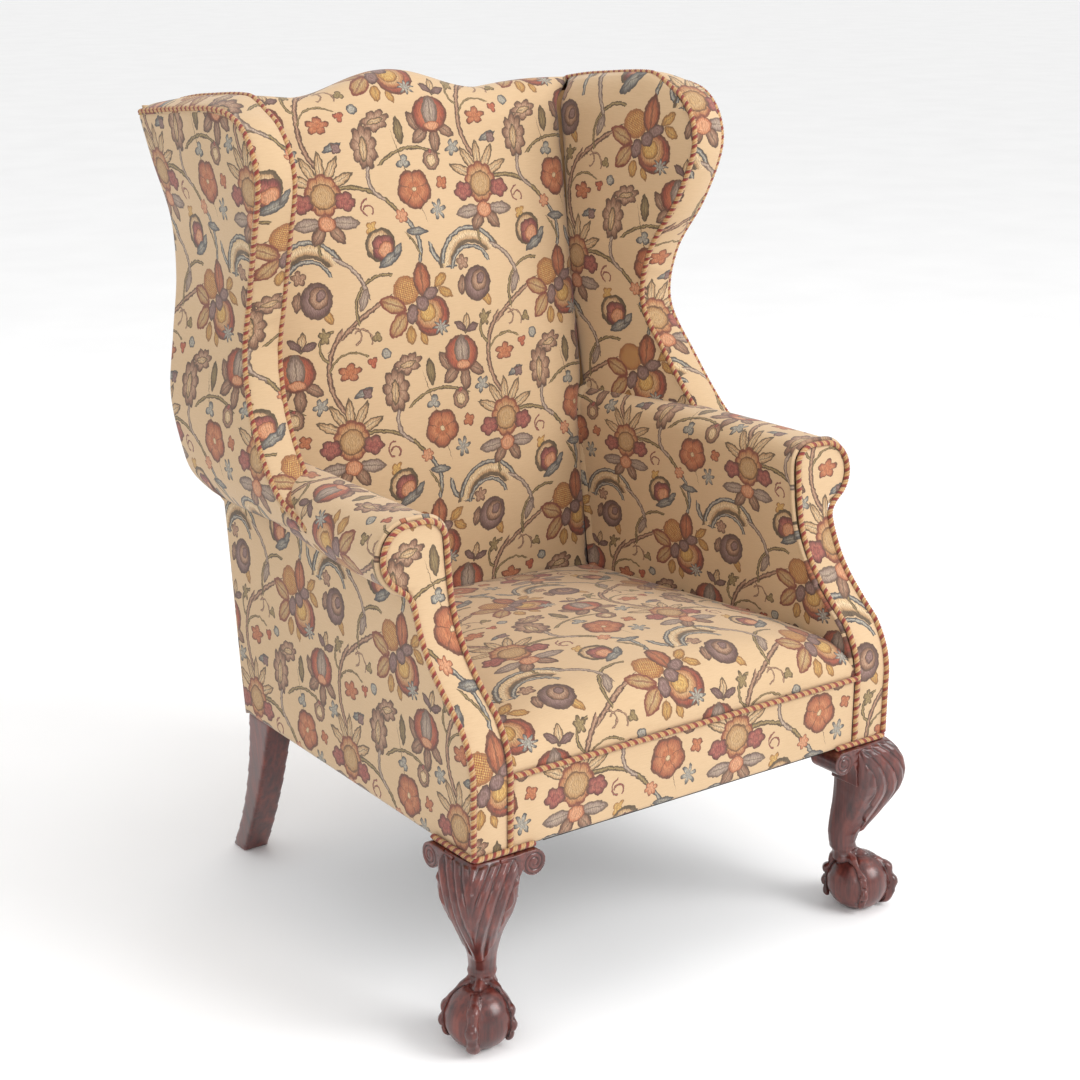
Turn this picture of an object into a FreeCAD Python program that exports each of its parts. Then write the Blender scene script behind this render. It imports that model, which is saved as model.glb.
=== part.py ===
import FreeCAD, Part
import math
import os

# Wing armchair: carved legs, timber frame and upholstery. Millimetres, floor at z = 0.
# The chair faces -Y. While it is drawn, y = 0 is the back edge of the upholstered base;
# at the end the whole chair is moved so that the middle of its box stands over the origin.

V = FreeCAD.Vector

# Overall sizes
chair_height = 1140
leg_height = 258
front_width = 692
rear_narrowing = 34
base_depth = 610
back_rake = 0.158
arm_height = 653
seat_edge_height = 358

# Upholstery sizes
panel = 8
facing = 4
facing_width = 54
arm_padding = 10
arm_sweep = 138
roll_radius = 40
seat_side_rise = 42
seat_crown = 42
back_pad_edge = 12
back_pad_crown = 50
wing_depth = 317
wing_width = 48
wing_facing = 6
wing_pad_crown = 9
crest_hump = 32
crest_shoulder = 8
hump_half_width = 160
border_top_gap = 0.5
cord_radius = 4

# Timber sizes
rail_height = 76
rail_thickness = 26
leg_block = 48
tenon_length = 25
tenon_thickness = 9
tenon_shoulder = 12
rear_tenon_length = 17
rear_rail_set_back = 3
post_width = 36
post_depth = 30
rear_leg_depth = 63
rear_leg_foot = 36
rear_leg_width = 41
rear_leg_kick = 107
rear_leg_cant = 26
arm_rail_width = 66
arm_rail_height = 36
arm_board = 34
wing_board = 30
wing_rail_depth = 40
crest_rail_height = 62
brace_reach = 45
brace_height = 40
dowel_radius = 4.75
dowel_length = 50

# Claw-and-ball foot and knee sizes
ball_radius = 44
ball_height = 76
ball_setback = 21
ball_sides = 20
ball_rings = 9
ball_rest_angle = 1.13
talon_radius = 7.5
ear_radius = 17
ear_reach = 81
ear_projection = 13
ear_depth = 50

# Sheet goods and small hardware
webbing_width = 50
webbing_thickness = 2
hessian = 1

# Clearances: soft pieces, glued joints, holes round fasteners, cords beside faceted wings
fit = 0.3
glue = 0.1
hole = 0.15
facet_room = 0.9

# Heights and faces worked out from the sizes above
front_half = front_width / 2
rear_half = (front_width - rear_narrowing) / 2
front_y = -base_depth
wing_height = chair_height - arm_height
rail_bottom = leg_height + 1
rail_top = rail_bottom + rail_height
frame_half_front = front_half - panel - 1
frame_half_rear = rear_half - panel - 1
frame_front_y = front_y + facing
block_inner_x = frame_half_front - leg_block
block_back_y = frame_front_y + leg_block
arm_inner_x = front_half + 2 - facing_width
seat_half = arm_inner_x - fit
pad_half = rear_half - 29
roll_x = front_half - 1
roll_z = arm_height - roll_radius
arm_core_x = arm_inner_x + arm_padding
arm_core_top = arm_height - 18
arm_core_bottom = arm_core_top - arm_rail_height
rear_block_inner = frame_half_rear - rear_leg_width
post_outer = rear_block_inner + post_width
under_roll = roll_z - roll_radius
rear_leg_front_y = -panel - 1 - rear_leg_depth + 4
post_top = chair_height - crest_hump - crest_rail_height - 14
back_skin = 2 * webbing_thickness + hessian + 3 * fit


def rear_y(z):
    return back_rake * (z - leg_height)


def board_y(z):
    # Front of the back frame
    return rear_y(z) - panel - post_depth


def crest_z(x):
    # Serpentine top line: a hump in the middle and a soft shoulder towards each wing
    x = abs(x)
    low = chair_height - crest_hump
    if x < hump_half_width:
        return low + crest_hump * math.cos(math.pi * x / hump_half_width / 2) ** 2
    swing = math.pi * (x - hump_half_width) / (rear_half - hump_half_width) / 1.3
    return low + crest_shoulder * math.sin(swing)


# Outline and solid helpers


def edges_of(place, start, runs):
    # One further point makes a line, two an arc, more a smooth curve
    edges = []
    pen = start
    for run in runs:
        points = [place(*p) for p in [pen, *run]]
        if len(run) == 1:
            edges.append(Part.LineSegment(points[0], points[1]).toShape())
        elif len(run) == 2 and flat_run(*points):
            edges.append(Part.LineSegment(points[0], points[2]).toShape())
        elif len(run) == 2:
            edges.append(Part.Arc(*points).toShape())
        else:
            curve = Part.BSplineCurve()
            curve.interpolate(points)
            edges.append(curve.toShape())
        pen = run[-1]
    if (place(*pen) - place(*start)).Length > 1e-6:
        edges.append(Part.LineSegment(place(*pen), place(*start)).toShape())
    return edges


def flat_run(a, b, c):
    return (b - a).cross(c - a).Length < 1e-4 * (c - a).Length ** 2


def wire_of(place, start, *runs):
    return Part.Wire(edges_of(place, start, runs))


def section(place, start, *runs, count=4):
    # Corner points for a skin: the same runs, with each arc taken as a few straight steps
    points = [place(*start)]
    for run in runs:
        ends = [points[-1], *[place(*p) for p in run]]
        if len(run) == 2 and not flat_run(*ends):
            points += Part.Arc(*ends).toShape().discretize(Number=count + 1)[1:]
        elif len(run) == 2:
            points += [ends[0] + (ends[2] - ends[0]) * (k / count) for k in range(1, count + 1)]
        else:
            points.append(ends[1])
    if (points[-1] - points[0]).Length < 1e-6:
        points.pop()
    return points


def prism_x(x0, x1, start, *runs):
    wire = wire_of(lambda y, z: V(x0, y, z), start, *runs)
    return Part.Face(wire).extrude(V(x1 - x0, 0, 0))


def prism_y(y0, y1, start, *runs):
    wire = wire_of(lambda x, z: V(x, y0, z), start, *runs)
    return Part.Face(wire).extrude(V(0, y1 - y0, 0))


def prism_z(z0, z1, start, *runs):
    wire = wire_of(lambda x, y: V(x, y, z0), start, *runs)
    return Part.Face(wire).extrude(V(0, 0, z1 - z0))


def box(x0, x1, y0, y1, z0, z1):
    return Part.makeBox(x1 - x0, y1 - y0, z1 - z0, V(x0, y0, z0))


def ring(points):
    return Part.makePolygon([*points, points[0]])


def patch(a, b, c, d):
    # One flat facet, or two triangles on the shorter diagonal where it is not flat
    lift = (b - a).cross(d - a)
    if abs(lift.dot(c - a)) < 5e-8 * lift.Length:
        return [Part.Face(ring([a, b, c, d]))]
    if (c - a).Length > (d - b).Length:
        a, b, c, d = b, c, d, a
    return [Part.Face(ring([a, b, c])), Part.Face(ring([a, c, d]))]


def skin(sections):
    # Closed solid of flat facets through a row of matching sections
    faces = [Part.Face(ring(sections[0])), Part.Face(ring(sections[-1]))]
    for low, high in zip(sections, sections[1:]):
        for k in range(len(low)):
            faces += patch(low[k - 1], low[k], high[k], high[k - 1])
    shell = Part.makeShell(faces)
    shell.sewShape()
    solid = Part.Solid(shell)
    if solid.Volume < 0:
        solid.reverse()
    return solid


def peg(start, direction, length, radius):
    # Eight-sided peg
    across = direction.cross(V(1, 0, 0)).normalize()
    upward = direction.cross(across).normalize()
    corners = []
    for k in range(8):
        turn = math.radians(45 * k + 22.5)
        corners.append(start + across * (radius * math.cos(turn)) + upward * (radius * math.sin(turn)))
    return Part.Face(ring(corners)).extrude(direction * length)


def mirrored(shape):
    return shape.mirror(V(0, 0, 0), V(1, 0, 0))


def shifted(points, distance):
    # Points of an open curve moved square to it, to the right of its direction
    moved = []
    last = len(points) - 1
    for i, (a, b) in enumerate(points):
        before = points[max(i - 1, 0)]
        after = points[min(i + 1, last)]
        da = after[0] - before[0]
        db = after[1] - before[1]
        size = math.hypot(da, db)
        moved.append((a + distance * db / size, b - distance * da / size))
    return moved


def arcs(points):
    # Runs that pass through the points in arcs, two points to each
    return [[points[i], points[i + 1]] for i in range(0, len(points), 2)]


def blend(rows, at):
    # The later columns of a table at any value of its first column, joined smoothly
    last = len(rows) - 1
    i = 0
    while i < last - 1 and at > rows[i + 1][0]:
        i += 1
    gap = rows[i + 1][0] - rows[i][0]
    t = (at - rows[i][0]) / gap
    values = []
    for column in range(1, len(rows[0])):
        slopes = []
        for k in (i, i + 1):
            low, high = rows[max(k - 1, 0)], rows[min(k + 1, last)]
            slopes.append((high[column] - low[column]) / (high[0] - low[0]) * gap)
        v0, v1 = rows[i][column], rows[i + 1][column]
        lean = t * (1 - t) * ((1 - t) * slopes[0] - t * slopes[1])
        values.append(v0 + (v1 - v0) * t * t * (3 - 2 * t) + lean)
    return values


def cord(route, radius, side, count=0):
    # Six-sided cord through 3-D points; side keeps the section from twisting
    points = route
    if count:
        curve = Part.BSplineCurve()
        curve.interpolate(route)
        points = curve.toShape().discretize(Number=count)
    sections = []
    last = len(points) - 1
    for i, point in enumerate(points):
        along = points[min(i + 1, last)] - points[max(i - 1, 0)]
        across = along.cross(side).normalize()
        upward = along.cross(across).normalize()
        corners = []
        for k in range(6):
            turn = math.radians(60 * k)
            corners.append(point + across * (radius * math.cos(turn)) + upward * (radius * math.sin(turn)))
        sections.append(corners)
    return skin(sections)


# Front legs. The leg is drawn in its own diagonal plane: s runs outward through the corner of
# the base, w runs square to it.

# Height, diagonal inner and outer faces, half width, share of each edge taken by the rounding
leg_sections = [
    (0.260, -56, -17, 22, 0.46),
    (0.341, -63, -26, 18.5, 0.46),
    (0.415, -67, -24, 18.5, 0.43),
    (0.508, -66, -9, 23.5, 0.38),
    (0.624, -63, 13, 33, 0.32),
    (0.736, -62, 30, 46, 0.26),
    (0.837, -62, 34, 51, 0.22),
    (0.930, -61, 24, 50, 0.20),
    (1.000, -60, 3, 44, 0.20),
]


leg_slices = 13


def leg_point(s, w, z):
    c = math.sqrt(0.5)
    return V(front_half + (s - w) * c, front_y - (s + w) * c, z)


def leg_section(z, inner, outer, half, rounding, grow=0):
    trim = 1 - 0.586 * rounding
    centre = inner + 0.42 * (outer - inner)
    front = (outer + grow - centre) / trim
    back = (centre - inner + grow) / trim
    side = (half + grow) / trim
    corners = [(centre + front, 0), (centre, side), (centre - back, 0), (centre, -side)]
    starts, middles, ends = [], [], []
    for i, (s, w) in enumerate(corners):
        bs, bw = corners[i - 1]
        ns, nw = corners[(i + 1) % 4]
        first = (s + (bs - s) * rounding, w + (bw - w) * rounding)
        final = (s + (ns - s) * rounding, w + (nw - w) * rounding)
        mid_s = (first[0] + final[0]) / 2
        mid_w = (first[1] + final[1]) / 2
        starts.append(first)
        middles.append((s + 0.586 * (mid_s - s), w + 0.586 * (mid_w - w)))
        ends.append(final)
    runs = []
    for i in range(4):
        runs.append([middles[i], ends[i]])
        runs.append([starts[(i + 1) % 4]])
    return section(lambda s, w: leg_point(s, w, z), starts[0], *runs, count=3)


def leg_shank(grow=0):
    wires = []
    low, high = leg_sections[0][0], leg_sections[-1][0]
    for i in range(leg_slices + 1):
        height = low + (high - low) * i / leg_slices
        inner, outer, half, rounding = blend(leg_sections, height)
        wires.append(leg_section(height * leg_height, inner, outer, half, rounding, grow))
    return skin(wires)


def ball():
    # Flattened ball standing on a small flat
    rings = []
    for i in range(ball_rings + 1):
        lift = math.pi * (i / ball_rings - 0.5)
        lift = max(lift, -ball_rest_angle)
        z = ball_height / 2 * (1 + math.sin(lift) / math.sin(ball_rest_angle))
        radius = ball_radius * max(math.cos(lift), 0.08)
        points = []
        for k in range(ball_sides):
            turn = 2 * math.pi * k / ball_sides
            points.append(leg_point(-ball_setback, 0, z) + V(math.cos(turn), math.sin(turn), 0) * radius)
        rings.append(points)
    return skin(rings[1:])


def talon(angle):
    # Knuckled toe from the ankle over the ball, tapering to the claw tip
    ankle_s = -44
    turn = math.radians(angle)
    away = (math.cos(turn), math.sin(turn))
    reach = ball_radius + 1
    path = [
        (0.10, 88, 0.75),
        (0.42, 76, 1.05),
        (0.62, 67, 0.85),
        (0.88, 55, 1.10),
        (1.00, 40, 0.80),
        (1.00, 26, 0.90),
        (0.84, 9, 0.45),
    ]
    middles = []
    for share, z, size in path:
        from_ankle = 1 - share
        s = share * (-ball_setback + reach * away[0]) + from_ankle * ankle_s
        w = share * reach * away[1]
        middles.append((leg_point(s, w, z * leg_height / 258), size * talon_radius))
    sections = []
    side = (leg_point(-away[1], away[0], 0) - leg_point(0, 0, 0)).normalize()
    for i, (point, radius) in enumerate(middles):
        along = middles[min(i + 1, 6)][0] - middles[max(i - 1, 0)][0]
        out = along.cross(side).normalize()
        corners = []
        for k in range(6):
            a = math.radians(60 * k)
            corners.append(point + side * (radius * math.cos(a)) + out * (radius * math.sin(a)))
        sections.append(corners)
    return skin(sections)


def front_leg():
    block = box(block_inner_x, frame_half_front, frame_front_y, block_back_y, leg_height, rail_top)
    leg = leg_shank().fuse([block, ball()])
    for angle in (0, 78, -78, 180):
        leg = leg.fuse(talon(angle))
    below_floor = box(0, front_half * 2, front_y * 1.4, 0, -50, 0)
    return leg.cut(below_floor)


def ear_solid():
    # Scroll ear under the front rail, flat on the leg side, with a round volute at its end
    centre_x = front_half - ear_reach
    centre_z = leg_height - ear_radius
    face_y = front_y - ear_projection
    near_leg = front_half - 30
    diagonal = ear_radius * math.sqrt(0.5)
    return prism_y(
        face_y,
        face_y + ear_depth,
        (near_leg, leg_height),
        [(centre_x, leg_height)],
        [(centre_x - ear_radius, centre_z), (centre_x, centre_z - ear_radius)],
        [(centre_x + diagonal, centre_z - diagonal), (centre_x + ear_radius, centre_z - 4)],
        [(centre_x + ear_radius + 6, centre_z - 18), (centre_x + ear_radius + 8, centre_z - 40)],
        [(near_leg, centre_z - 52)],
    )


def knee_brackets():
    front_ear = ear_solid()
    # The side ear is the front ear turned about the diagonal through the corner
    side_ear = front_ear.mirror(V(front_half, front_y, 0), V(1, 1, 0))
    grown = leg_shank(glue)
    pieces = []
    for ear in (front_ear, side_ear):
        pieces.append(max(ear.cut(grown).Solids, key=lambda s: s.Volume))
    return pieces


# Rear legs and back posts, one plan width, spliced on a sloping joint above the seat rails


def blank_outline():
    top = post_top
    foot_front = rear_leg_kick - rear_leg_foot
    seat_front = rear_leg_front_y
    rear_foot = (rear_leg_kick, 0)
    mid_back = (0.30 * rear_leg_kick, 0.5 * leg_height)
    mid_front = (seat_front + 0.44 * (foot_front - seat_front), 0.5 * leg_height)
    runs = [
        [mid_back, (-panel, leg_height)],
        [(rear_y(top) - panel, top)],
        [(board_y(top), top)],
        [(board_y(rail_top), rail_top)],
        [(seat_front, rail_top)],
        [(seat_front, leg_height)],
        [mid_front, (foot_front, 0)],
    ]
    return rear_foot, runs


def rear_blank():
    start, runs = blank_outline()
    return prism_x(rear_block_inner, post_outer, start, *runs)


def splice_region(lift):
    # Everything above the sloping splice
    low = rail_top + 10 + lift
    high = rail_top + 95 + lift
    top = chair_height * 1.2
    return prism_x(
        0, front_half, (base_depth, low - 60), [(base_depth, top)], [(-base_depth, top)],
        [(-base_depth, high + 200)], [(board_y(high) - 2, high)], [(rear_y(low), low)],
    )


def back_post():
    return rear_blank().common(splice_region(glue))


def rear_leg():
    stump = rear_blank().cut(splice_region(0))
    low_box = box(0, front_half, -base_depth, base_depth, 0, leg_height)
    upper = stump.cut(low_box)
    cheek = box(
        post_outer, frame_half_rear, rear_leg_front_y, -panel - 1, leg_height, rail_top
    )
    start, runs = blank_outline()
    inner_x = rear_half - 2 - rear_leg_width
    show = prism_x(inner_x - rear_leg_cant, inner_x + rear_leg_width, start, *runs).common(low_box)
    # The show part leans inward a little towards the floor
    leaning = prism_y(
        -base_depth,
        base_depth,
        (inner_x, leg_height),
        [(inner_x + rear_leg_width, leg_height)],
        [(inner_x + rear_leg_width - rear_leg_cant, 0)],
        [(inner_x - rear_leg_cant, 0)],
    )
    return upper.fuse([cheek, show.common(leaning)]).removeSplitter()


# Seat frame


def front_seat_rail():
    low = rail_bottom
    rail = box(
        -block_inner_x + glue,
        block_inner_x - glue,
        frame_front_y,
        frame_front_y + rail_thickness,
        low,
        rail_top,
    )
    tenon_y = frame_front_y + (rail_thickness - tenon_thickness) / 2
    half = block_inner_x + tenon_length
    tenon = box(
        -half, half, tenon_y, tenon_y + tenon_thickness, low + tenon_shoulder, rail_top - tenon_shoulder
    )
    return rail.fuse(tenon)


def side_x(y):
    # Outer face of the side rails, tapering towards the back
    share = (y - frame_front_y) / (-panel - 1 - frame_front_y)
    return frame_half_front + share * (frame_half_rear - frame_half_front)


def side_bar(y0, y1, outer_in, inner_in, z0, z1):
    return prism_z(
        z0,
        z1,
        (side_x(y0) - outer_in, y0),
        [(side_x(y1) - outer_in, y1)],
        [(side_x(y1) - inner_in, y1)],
        [(side_x(y0) - inner_in, y0)],
    )


def side_seat_rail():
    y0 = block_back_y + glue
    y1 = rear_leg_front_y - glue
    rail = side_bar(y0, y1, 0, rail_thickness, rail_bottom, rail_top)
    inset = (rail_thickness - tenon_thickness) / 2
    tenon = side_bar(
        y0 - tenon_length,
        y1 + tenon_length,
        inset,
        inset + tenon_thickness,
        rail_bottom + tenon_shoulder,
        rail_top - tenon_shoulder,
    )
    return rail.fuse(tenon)


def rear_seat_rail():
    half = rear_block_inner - glue
    y1 = -panel - rear_rail_set_back
    y0 = y1 - rail_thickness
    rail = box(-half, half, y0, y1, rail_bottom, rail_top)
    tenon_y = y1 - rear_rail_set_back - tenon_thickness
    reach = half + rear_tenon_length
    tenon = box(
        -reach,
        reach,
        tenon_y,
        tenon_y + tenon_thickness,
        rail_bottom + tenon_shoulder,
        rail_top - tenon_shoulder,
    )
    return rail.fuse(tenon)


def mortises():
    # Holes for the tenons of the front, side and rear rails, each with the glue gap
    z0 = rail_bottom + tenon_shoulder - glue
    z1 = rail_top - tenon_shoulder + glue
    inset = (rail_thickness - tenon_thickness) / 2
    y = frame_front_y + inset
    front = box(
        block_inner_x - 1,
        block_inner_x + tenon_length + glue,
        y - glue,
        y + tenon_thickness + glue,
        z0,
        z1,
    )
    side = side_bar(
        block_back_y - tenon_length - glue,
        rear_leg_front_y + tenon_length + glue,
        inset - glue,
        inset + tenon_thickness + glue,
        z0,
        z1,
    )
    back = -panel - 2 * rear_rail_set_back
    rear = box(
        rear_block_inner - 1,
        rear_block_inner + rear_tenon_length + glue,
        back - tenon_thickness - glue,
        back + glue,
        z0,
        z1,
    )
    return front, side, rear


def front_brace():
    y = frame_front_y + rail_thickness + glue
    x = block_inner_x - glue
    back = block_back_y + glue
    side0 = side_x(back) - rail_thickness - glue
    side1 = side_x(back + brace_reach) - rail_thickness - glue
    low = rail_top - brace_height - 12
    return prism_z(
        low,
        low + brace_height,
        (x - brace_reach, y),
        [(x, y)],
        [(x, back)],
        [(side0, back)],
        [(side1, back + brace_reach)],
    )


def rear_brace():
    y = -panel - rear_rail_set_back - rail_thickness - glue
    x = rear_block_inner - glue
    front = rear_leg_front_y - glue
    side0 = side_x(front) - rail_thickness - glue
    side1 = side_x(front - brace_reach) - rail_thickness - glue
    low = rail_top - brace_height - 12
    return prism_z(
        low,
        low + brace_height,
        (x - brace_reach, y),
        [(x, y)],
        [(x, front)],
        [(side0, front)],
        [(side1, front - brace_reach)],
    )


# Arms


def sweep_points(back_set):
    # Side view of the arm front: upright below the seat edge, then sweeping back to the roll
    shape = [(0.013, 0.0), (0.115, 0.05), (0.227, 0.188), (0.275, 0.304), (0.329, 0.435)]
    shape += [(0.417, 0.623), (0.519, 0.775), (0.671, 0.906), (1.03, 1.0)]
    points = [(front_y, leg_height)]
    rise = arm_height - seat_edge_height
    for height, back in shape:
        points.append((front_y + arm_sweep * back, seat_edge_height + height * rise))
    moved = shifted(points, back_set)
    moved[1] = (front_y + back_set, moved[1][1])
    return moved


def sweep_runs(points):
    return [[points[1]], *arcs(points[2:])]


def sweep_band(x0, x1, near, far):
    # Slab between two set-backs from the arm front line
    first = sweep_points(near)
    second = sweep_points(far)
    second.reverse()
    return prism_x(
        x0, x1, first[0], *sweep_runs(first), [second[0]], *arcs(second[1:-1]), [second[-1]]
    )


def region_between(back_set, rear_gap):
    # Everything behind the arm front line and ahead of the back, by the given distances
    points = sweep_points(back_set)
    low, high = points[0][1], points[-1][1]
    return prism_x(
        0,
        front_half * 2,
        points[0],
        *sweep_runs(points),
        [(rear_y(high) - rear_gap, high)],
        [(rear_y(low) - rear_gap, low)],
    )


def arm_outline(low, inner, under, roll, top, radius):
    # Front view of the arm: straight sides and an outward roll
    shoulder = 22
    return (
        (inner, low),
        [
            [(inner, top - shoulder)],
            [(inner + 0.3 * shoulder, top - 0.3 * shoulder), (inner + shoulder, top)],
            [(roll, top)],
            [(roll + radius * math.sqrt(0.5), top - radius * (1 - math.sqrt(0.5))), (roll + radius, top - radius)],
            [(roll + radius * math.sqrt(0.5), top - radius * (1 + math.sqrt(0.5))), (under, top - 2 * radius)],
            [(under, low)],
        ],
    )


def arm_facing():
    start, runs = arm_outline(
        leg_height + fit, arm_inner_x, front_half + 2, roll_x, arm_height, roll_radius
    )
    outline = prism_y(front_y - 20, front_y + arm_sweep + 60, start, *runs)
    return outline.common(sweep_band(0, front_half * 2, 0, facing - fit))


def arm_post():
    outline = prism_y(
        front_y - 20,
        front_y + arm_sweep + 120,
        (arm_core_x, rail_top + glue),
        [(arm_core_x, arm_core_top)],
        [(arm_core_x + arm_rail_width, arm_core_top)],
        [(arm_core_x + arm_rail_width, arm_core_bottom)],
        [(arm_core_x + arm_rail_width - 18, arm_core_bottom)],
        [(front_half - 2 * panel + 1, arm_core_bottom - 12)],
        [(front_half - 2 * panel + 1, rail_top + glue)],
    )
    return outline.common(sweep_band(0, front_half * 2, facing, facing + arm_board))


def arm_rail_ends():
    y0 = front_y + arm_sweep + facing + arm_board
    y1 = board_y(arm_core_top) + 2
    taper = 18
    return y0, y1, taper


def arm_rail():
    y0, y1, taper = arm_rail_ends()
    x0, x1 = arm_core_x, arm_core_x + arm_rail_width
    low, high = arm_core_bottom, arm_core_top
    sections = []
    for y, a, b in ((y0 - 40, x0, x1), (y0, x0, x1), (y1, x0 - 10, x1 - taper - 10)):
        sections.append([V(a, y, low), V(b, y, low), V(b, y, high), V(a, y, high)])
    bar = skin(sections)
    return bar.common(region_between(facing + arm_board + glue, panel + post_depth + glue))


def tacking_rail():
    y0 = front_y + facing + arm_board + 12
    y1 = board_y(rail_top + 60) - glue
    low = rail_top + 46
    bar = prism_z(
        low,
        low + 26,
        (arm_core_x + 2, y0),
        [(arm_core_x + 18, y0)],
        [(post_outer - 1, y1)],
        [(post_outer - 17, y1)],
    )
    return bar.common(region_between(facing + arm_board + glue, panel + post_depth + glue))


def hook_section(y, inner, roll, radius, core0, core1):
    # Cross-section of the arm padding: inside panel, over the rail and round the roll
    low = rail_top + 2 * webbing_thickness + 2 * fit
    top = arm_height
    shoulder = 22
    c = radius * math.sqrt(0.5)
    centre = top - radius
    return section(
        lambda x, z: V(x, y, z),
        (inner, low),
        [(inner, top - shoulder)],
        [(inner + 0.3 * shoulder, top - 0.3 * shoulder), (inner + shoulder, top)],
        [(roll, top)],
        [(roll + c, centre + c), (roll + radius, centre)],
        [(roll + c, centre - c), (roll + 6, centre - radius)],
        [(core1 - 10, arm_core_bottom - fit)],
        [(core1 + fit, arm_core_bottom - fit)],
        [(core1 + fit, arm_core_top + fit)],
        [(core0 - fit, arm_core_top + fit)],
        [(core0 - fit, low)],
    )


def arm_pad():
    y0, y1, taper = arm_rail_ends()
    x0, x1 = arm_core_x, arm_core_x + arm_rail_width
    toe = hook_section(front_y, arm_inner_x, roll_x, roll_radius, x0, x1)
    front = hook_section(y0, arm_inner_x, roll_x, roll_radius, x0, x1)
    rear = hook_section(y1, arm_inner_x - 10, roll_x - 18, roll_radius - 8, x0 - 10, x1 - taper - 10)
    pad = skin([toe, front, rear])
    return pad.common(region_between(facing + fit, panel + post_depth + back_skin))


def outside_arm():
    top = under_roll - fit
    rear = base_depth * 0.2
    low = [(front_half + 1, front_y), (rear_half, 0)]
    high = [(front_half + 3, front_y), (rear_half - 5, rear_y(top))]
    wires = []
    for z, line in ((leg_height, low), (top, high)):
        (xf, yf), (xr, yr) = line
        slope = (xr - xf) / (yr - yf)
        xe = xr + slope * (rear - yr)
        wires.append([V(xf, yf, z), V(xe, rear, z), V(xe - panel, rear, z), V(xf - panel, yf, z)])
    slab = skin(wires)
    return slab.common(region_between(facing + fit, panel + fit))


# Wings

# Height share, forward reach share, outward flare of the front edge and of the rear edge
wing_rows = [
    (-0.170, 1.20, 33, -22),
    (-0.090, 1.10, 36, 14),
    (-0.027, 0.896, 39, 25),
    (0.138, 0.703, 31, 34),
    (0.300, 0.606, 16, 20),
    (0.466, 0.694, 14, 4),
    (0.630, 0.871, 28, 2),
    (0.795, 1.000, 35, 20),
    (1.010, 0.840, 39, 40),
]
wing_corner = [(0.877, 0.984), (0.930, 0.915), (0.952, 0.817), (0.957, 0.690)]
wing_top_rear = 0.917
wing_slices = 10


def wing_z(share):
    return arm_height + share * wing_height


def wing_row(share):
    return blend(wing_rows, share)


def wing_line(inset):
    # Side view of the wing edge: a smooth curve from the arm roll to the top corner, then a
    # straight top edge back to the rear
    points = []
    for share, reach, _, _ in wing_rows[1:-1]:
        z = wing_z(share)
        points.append((rear_y(z) - wing_depth * reach, z))
    for share, reach in wing_corner:
        z = wing_z(share)
        points.append((rear_y(z) - wing_depth * reach, z))
    top = wing_z(wing_top_rear)
    points.append((rear_y(top), top))
    moved = shifted(points, inset)
    return moved[:-1], moved[-1]


def wing_sections(near, far, rear_x=None, crown=0):
    # Horizontal slices of a wing layer between two depths inward from the outside of the wing;
    # rear_x fixes where the inner face ends at the back
    wires = []
    low, high = wing_rows[0][0], wing_rows[-1][0]
    for i in range(wing_slices + 1):
        share = low + (high - low) * i / wing_slices
        reach, flare_front, flare_rear = wing_row(share)
        z = wing_z(share)
        yr = rear_y(z) + 20
        yf = rear_y(z) - wing_depth * reach
        ye = rear_y(z) - wing_depth * 1.35
        xf = front_half + flare_front
        xr = front_half + flare_rear

        def x_at(y, inward, rear_end):
            along = (y - yf) / (rear_y(z) - yf)
            start = xf - inward
            return start + along * (rear_end - start)

        inner_rear = xr - far if rear_x is None else rear_x
        a = V(x_at(ye, near, xr - near), ye, z)
        b = V(x_at(yr, near, xr - near), yr, z)
        c = V(x_at(yr, far, inner_rear), yr, z)
        d = V(x_at(ye, far, inner_rear), ye, z)
        if crown:
            middle = V((c.x + d.x) / 2 - crown, (c.y + d.y) / 2, z)
            bow = Part.Arc(c, middle, d).toShape().discretize(Number=6)
            wires.append([a, b, *bow])
        else:
            wires.append([a, b, c, d])
    return skin(wires)


def wing_band(near, far):
    first, first_rear = wing_line(near)
    second, second_rear = wing_line(far)
    second.reverse()
    return prism_x(
        0,
        front_half * 2,
        first[0],
        *arcs(first[1:]),
        [first_rear],
        [second_rear],
        [second[0]],
        *arcs(second[1:]),
    )


def wing_region(inset, rear_gap, low_front, low_rear):
    # Side view of a wing layer: inside the edge line, ahead of the back, above a lower edge
    line, corner = wing_line(inset)
    low = under_roll * 0.8
    whole = prism_x(
        0,
        front_half * 2,
        line[0],
        *arcs(line[1:]),
        [corner],
        [(corner[0] + 20, low)],
        [(line[0][0], low)],
    ).common(ahead_of(rear_gap))
    front = line[0][0] - 100
    keep = prism_x(
        0,
        front_half * 2,
        (front, low_front),
        [(rear_y(low_rear), low_rear)],
        [(base_depth, low_rear)],
        [(base_depth, chair_height * 1.2)],
        [(front, chair_height * 1.2)],
    )
    return whole.common(keep)


def above(z):
    return box(0, front_half * 2, -base_depth * 2, base_depth, z, chair_height * 1.3)


def below(z):
    return box(0, front_half * 2, -base_depth * 2, base_depth, 0, z)


def ahead_of(gap):
    # Everything at least this far in front of the rear plane of the back
    top = chair_height * 1.1
    return prism_x(
        0,
        front_half * 2,
        (rear_y(leg_height) - gap, leg_height),
        [(rear_y(top) - gap, top)],
        [(-base_depth * 2, top)],
        [(-base_depth * 2, leg_height)],
    )


wing_split = wing_z(0.80)


def wing_facing_piece():
    slab = wing_sections(0, wing_width)
    band = wing_band(0, wing_facing - fit)
    piece = slab.common(band).common(above(roll_z)).common(ahead_of(panel + fit))
    return biggest(piece.cut(roll_room()))


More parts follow.
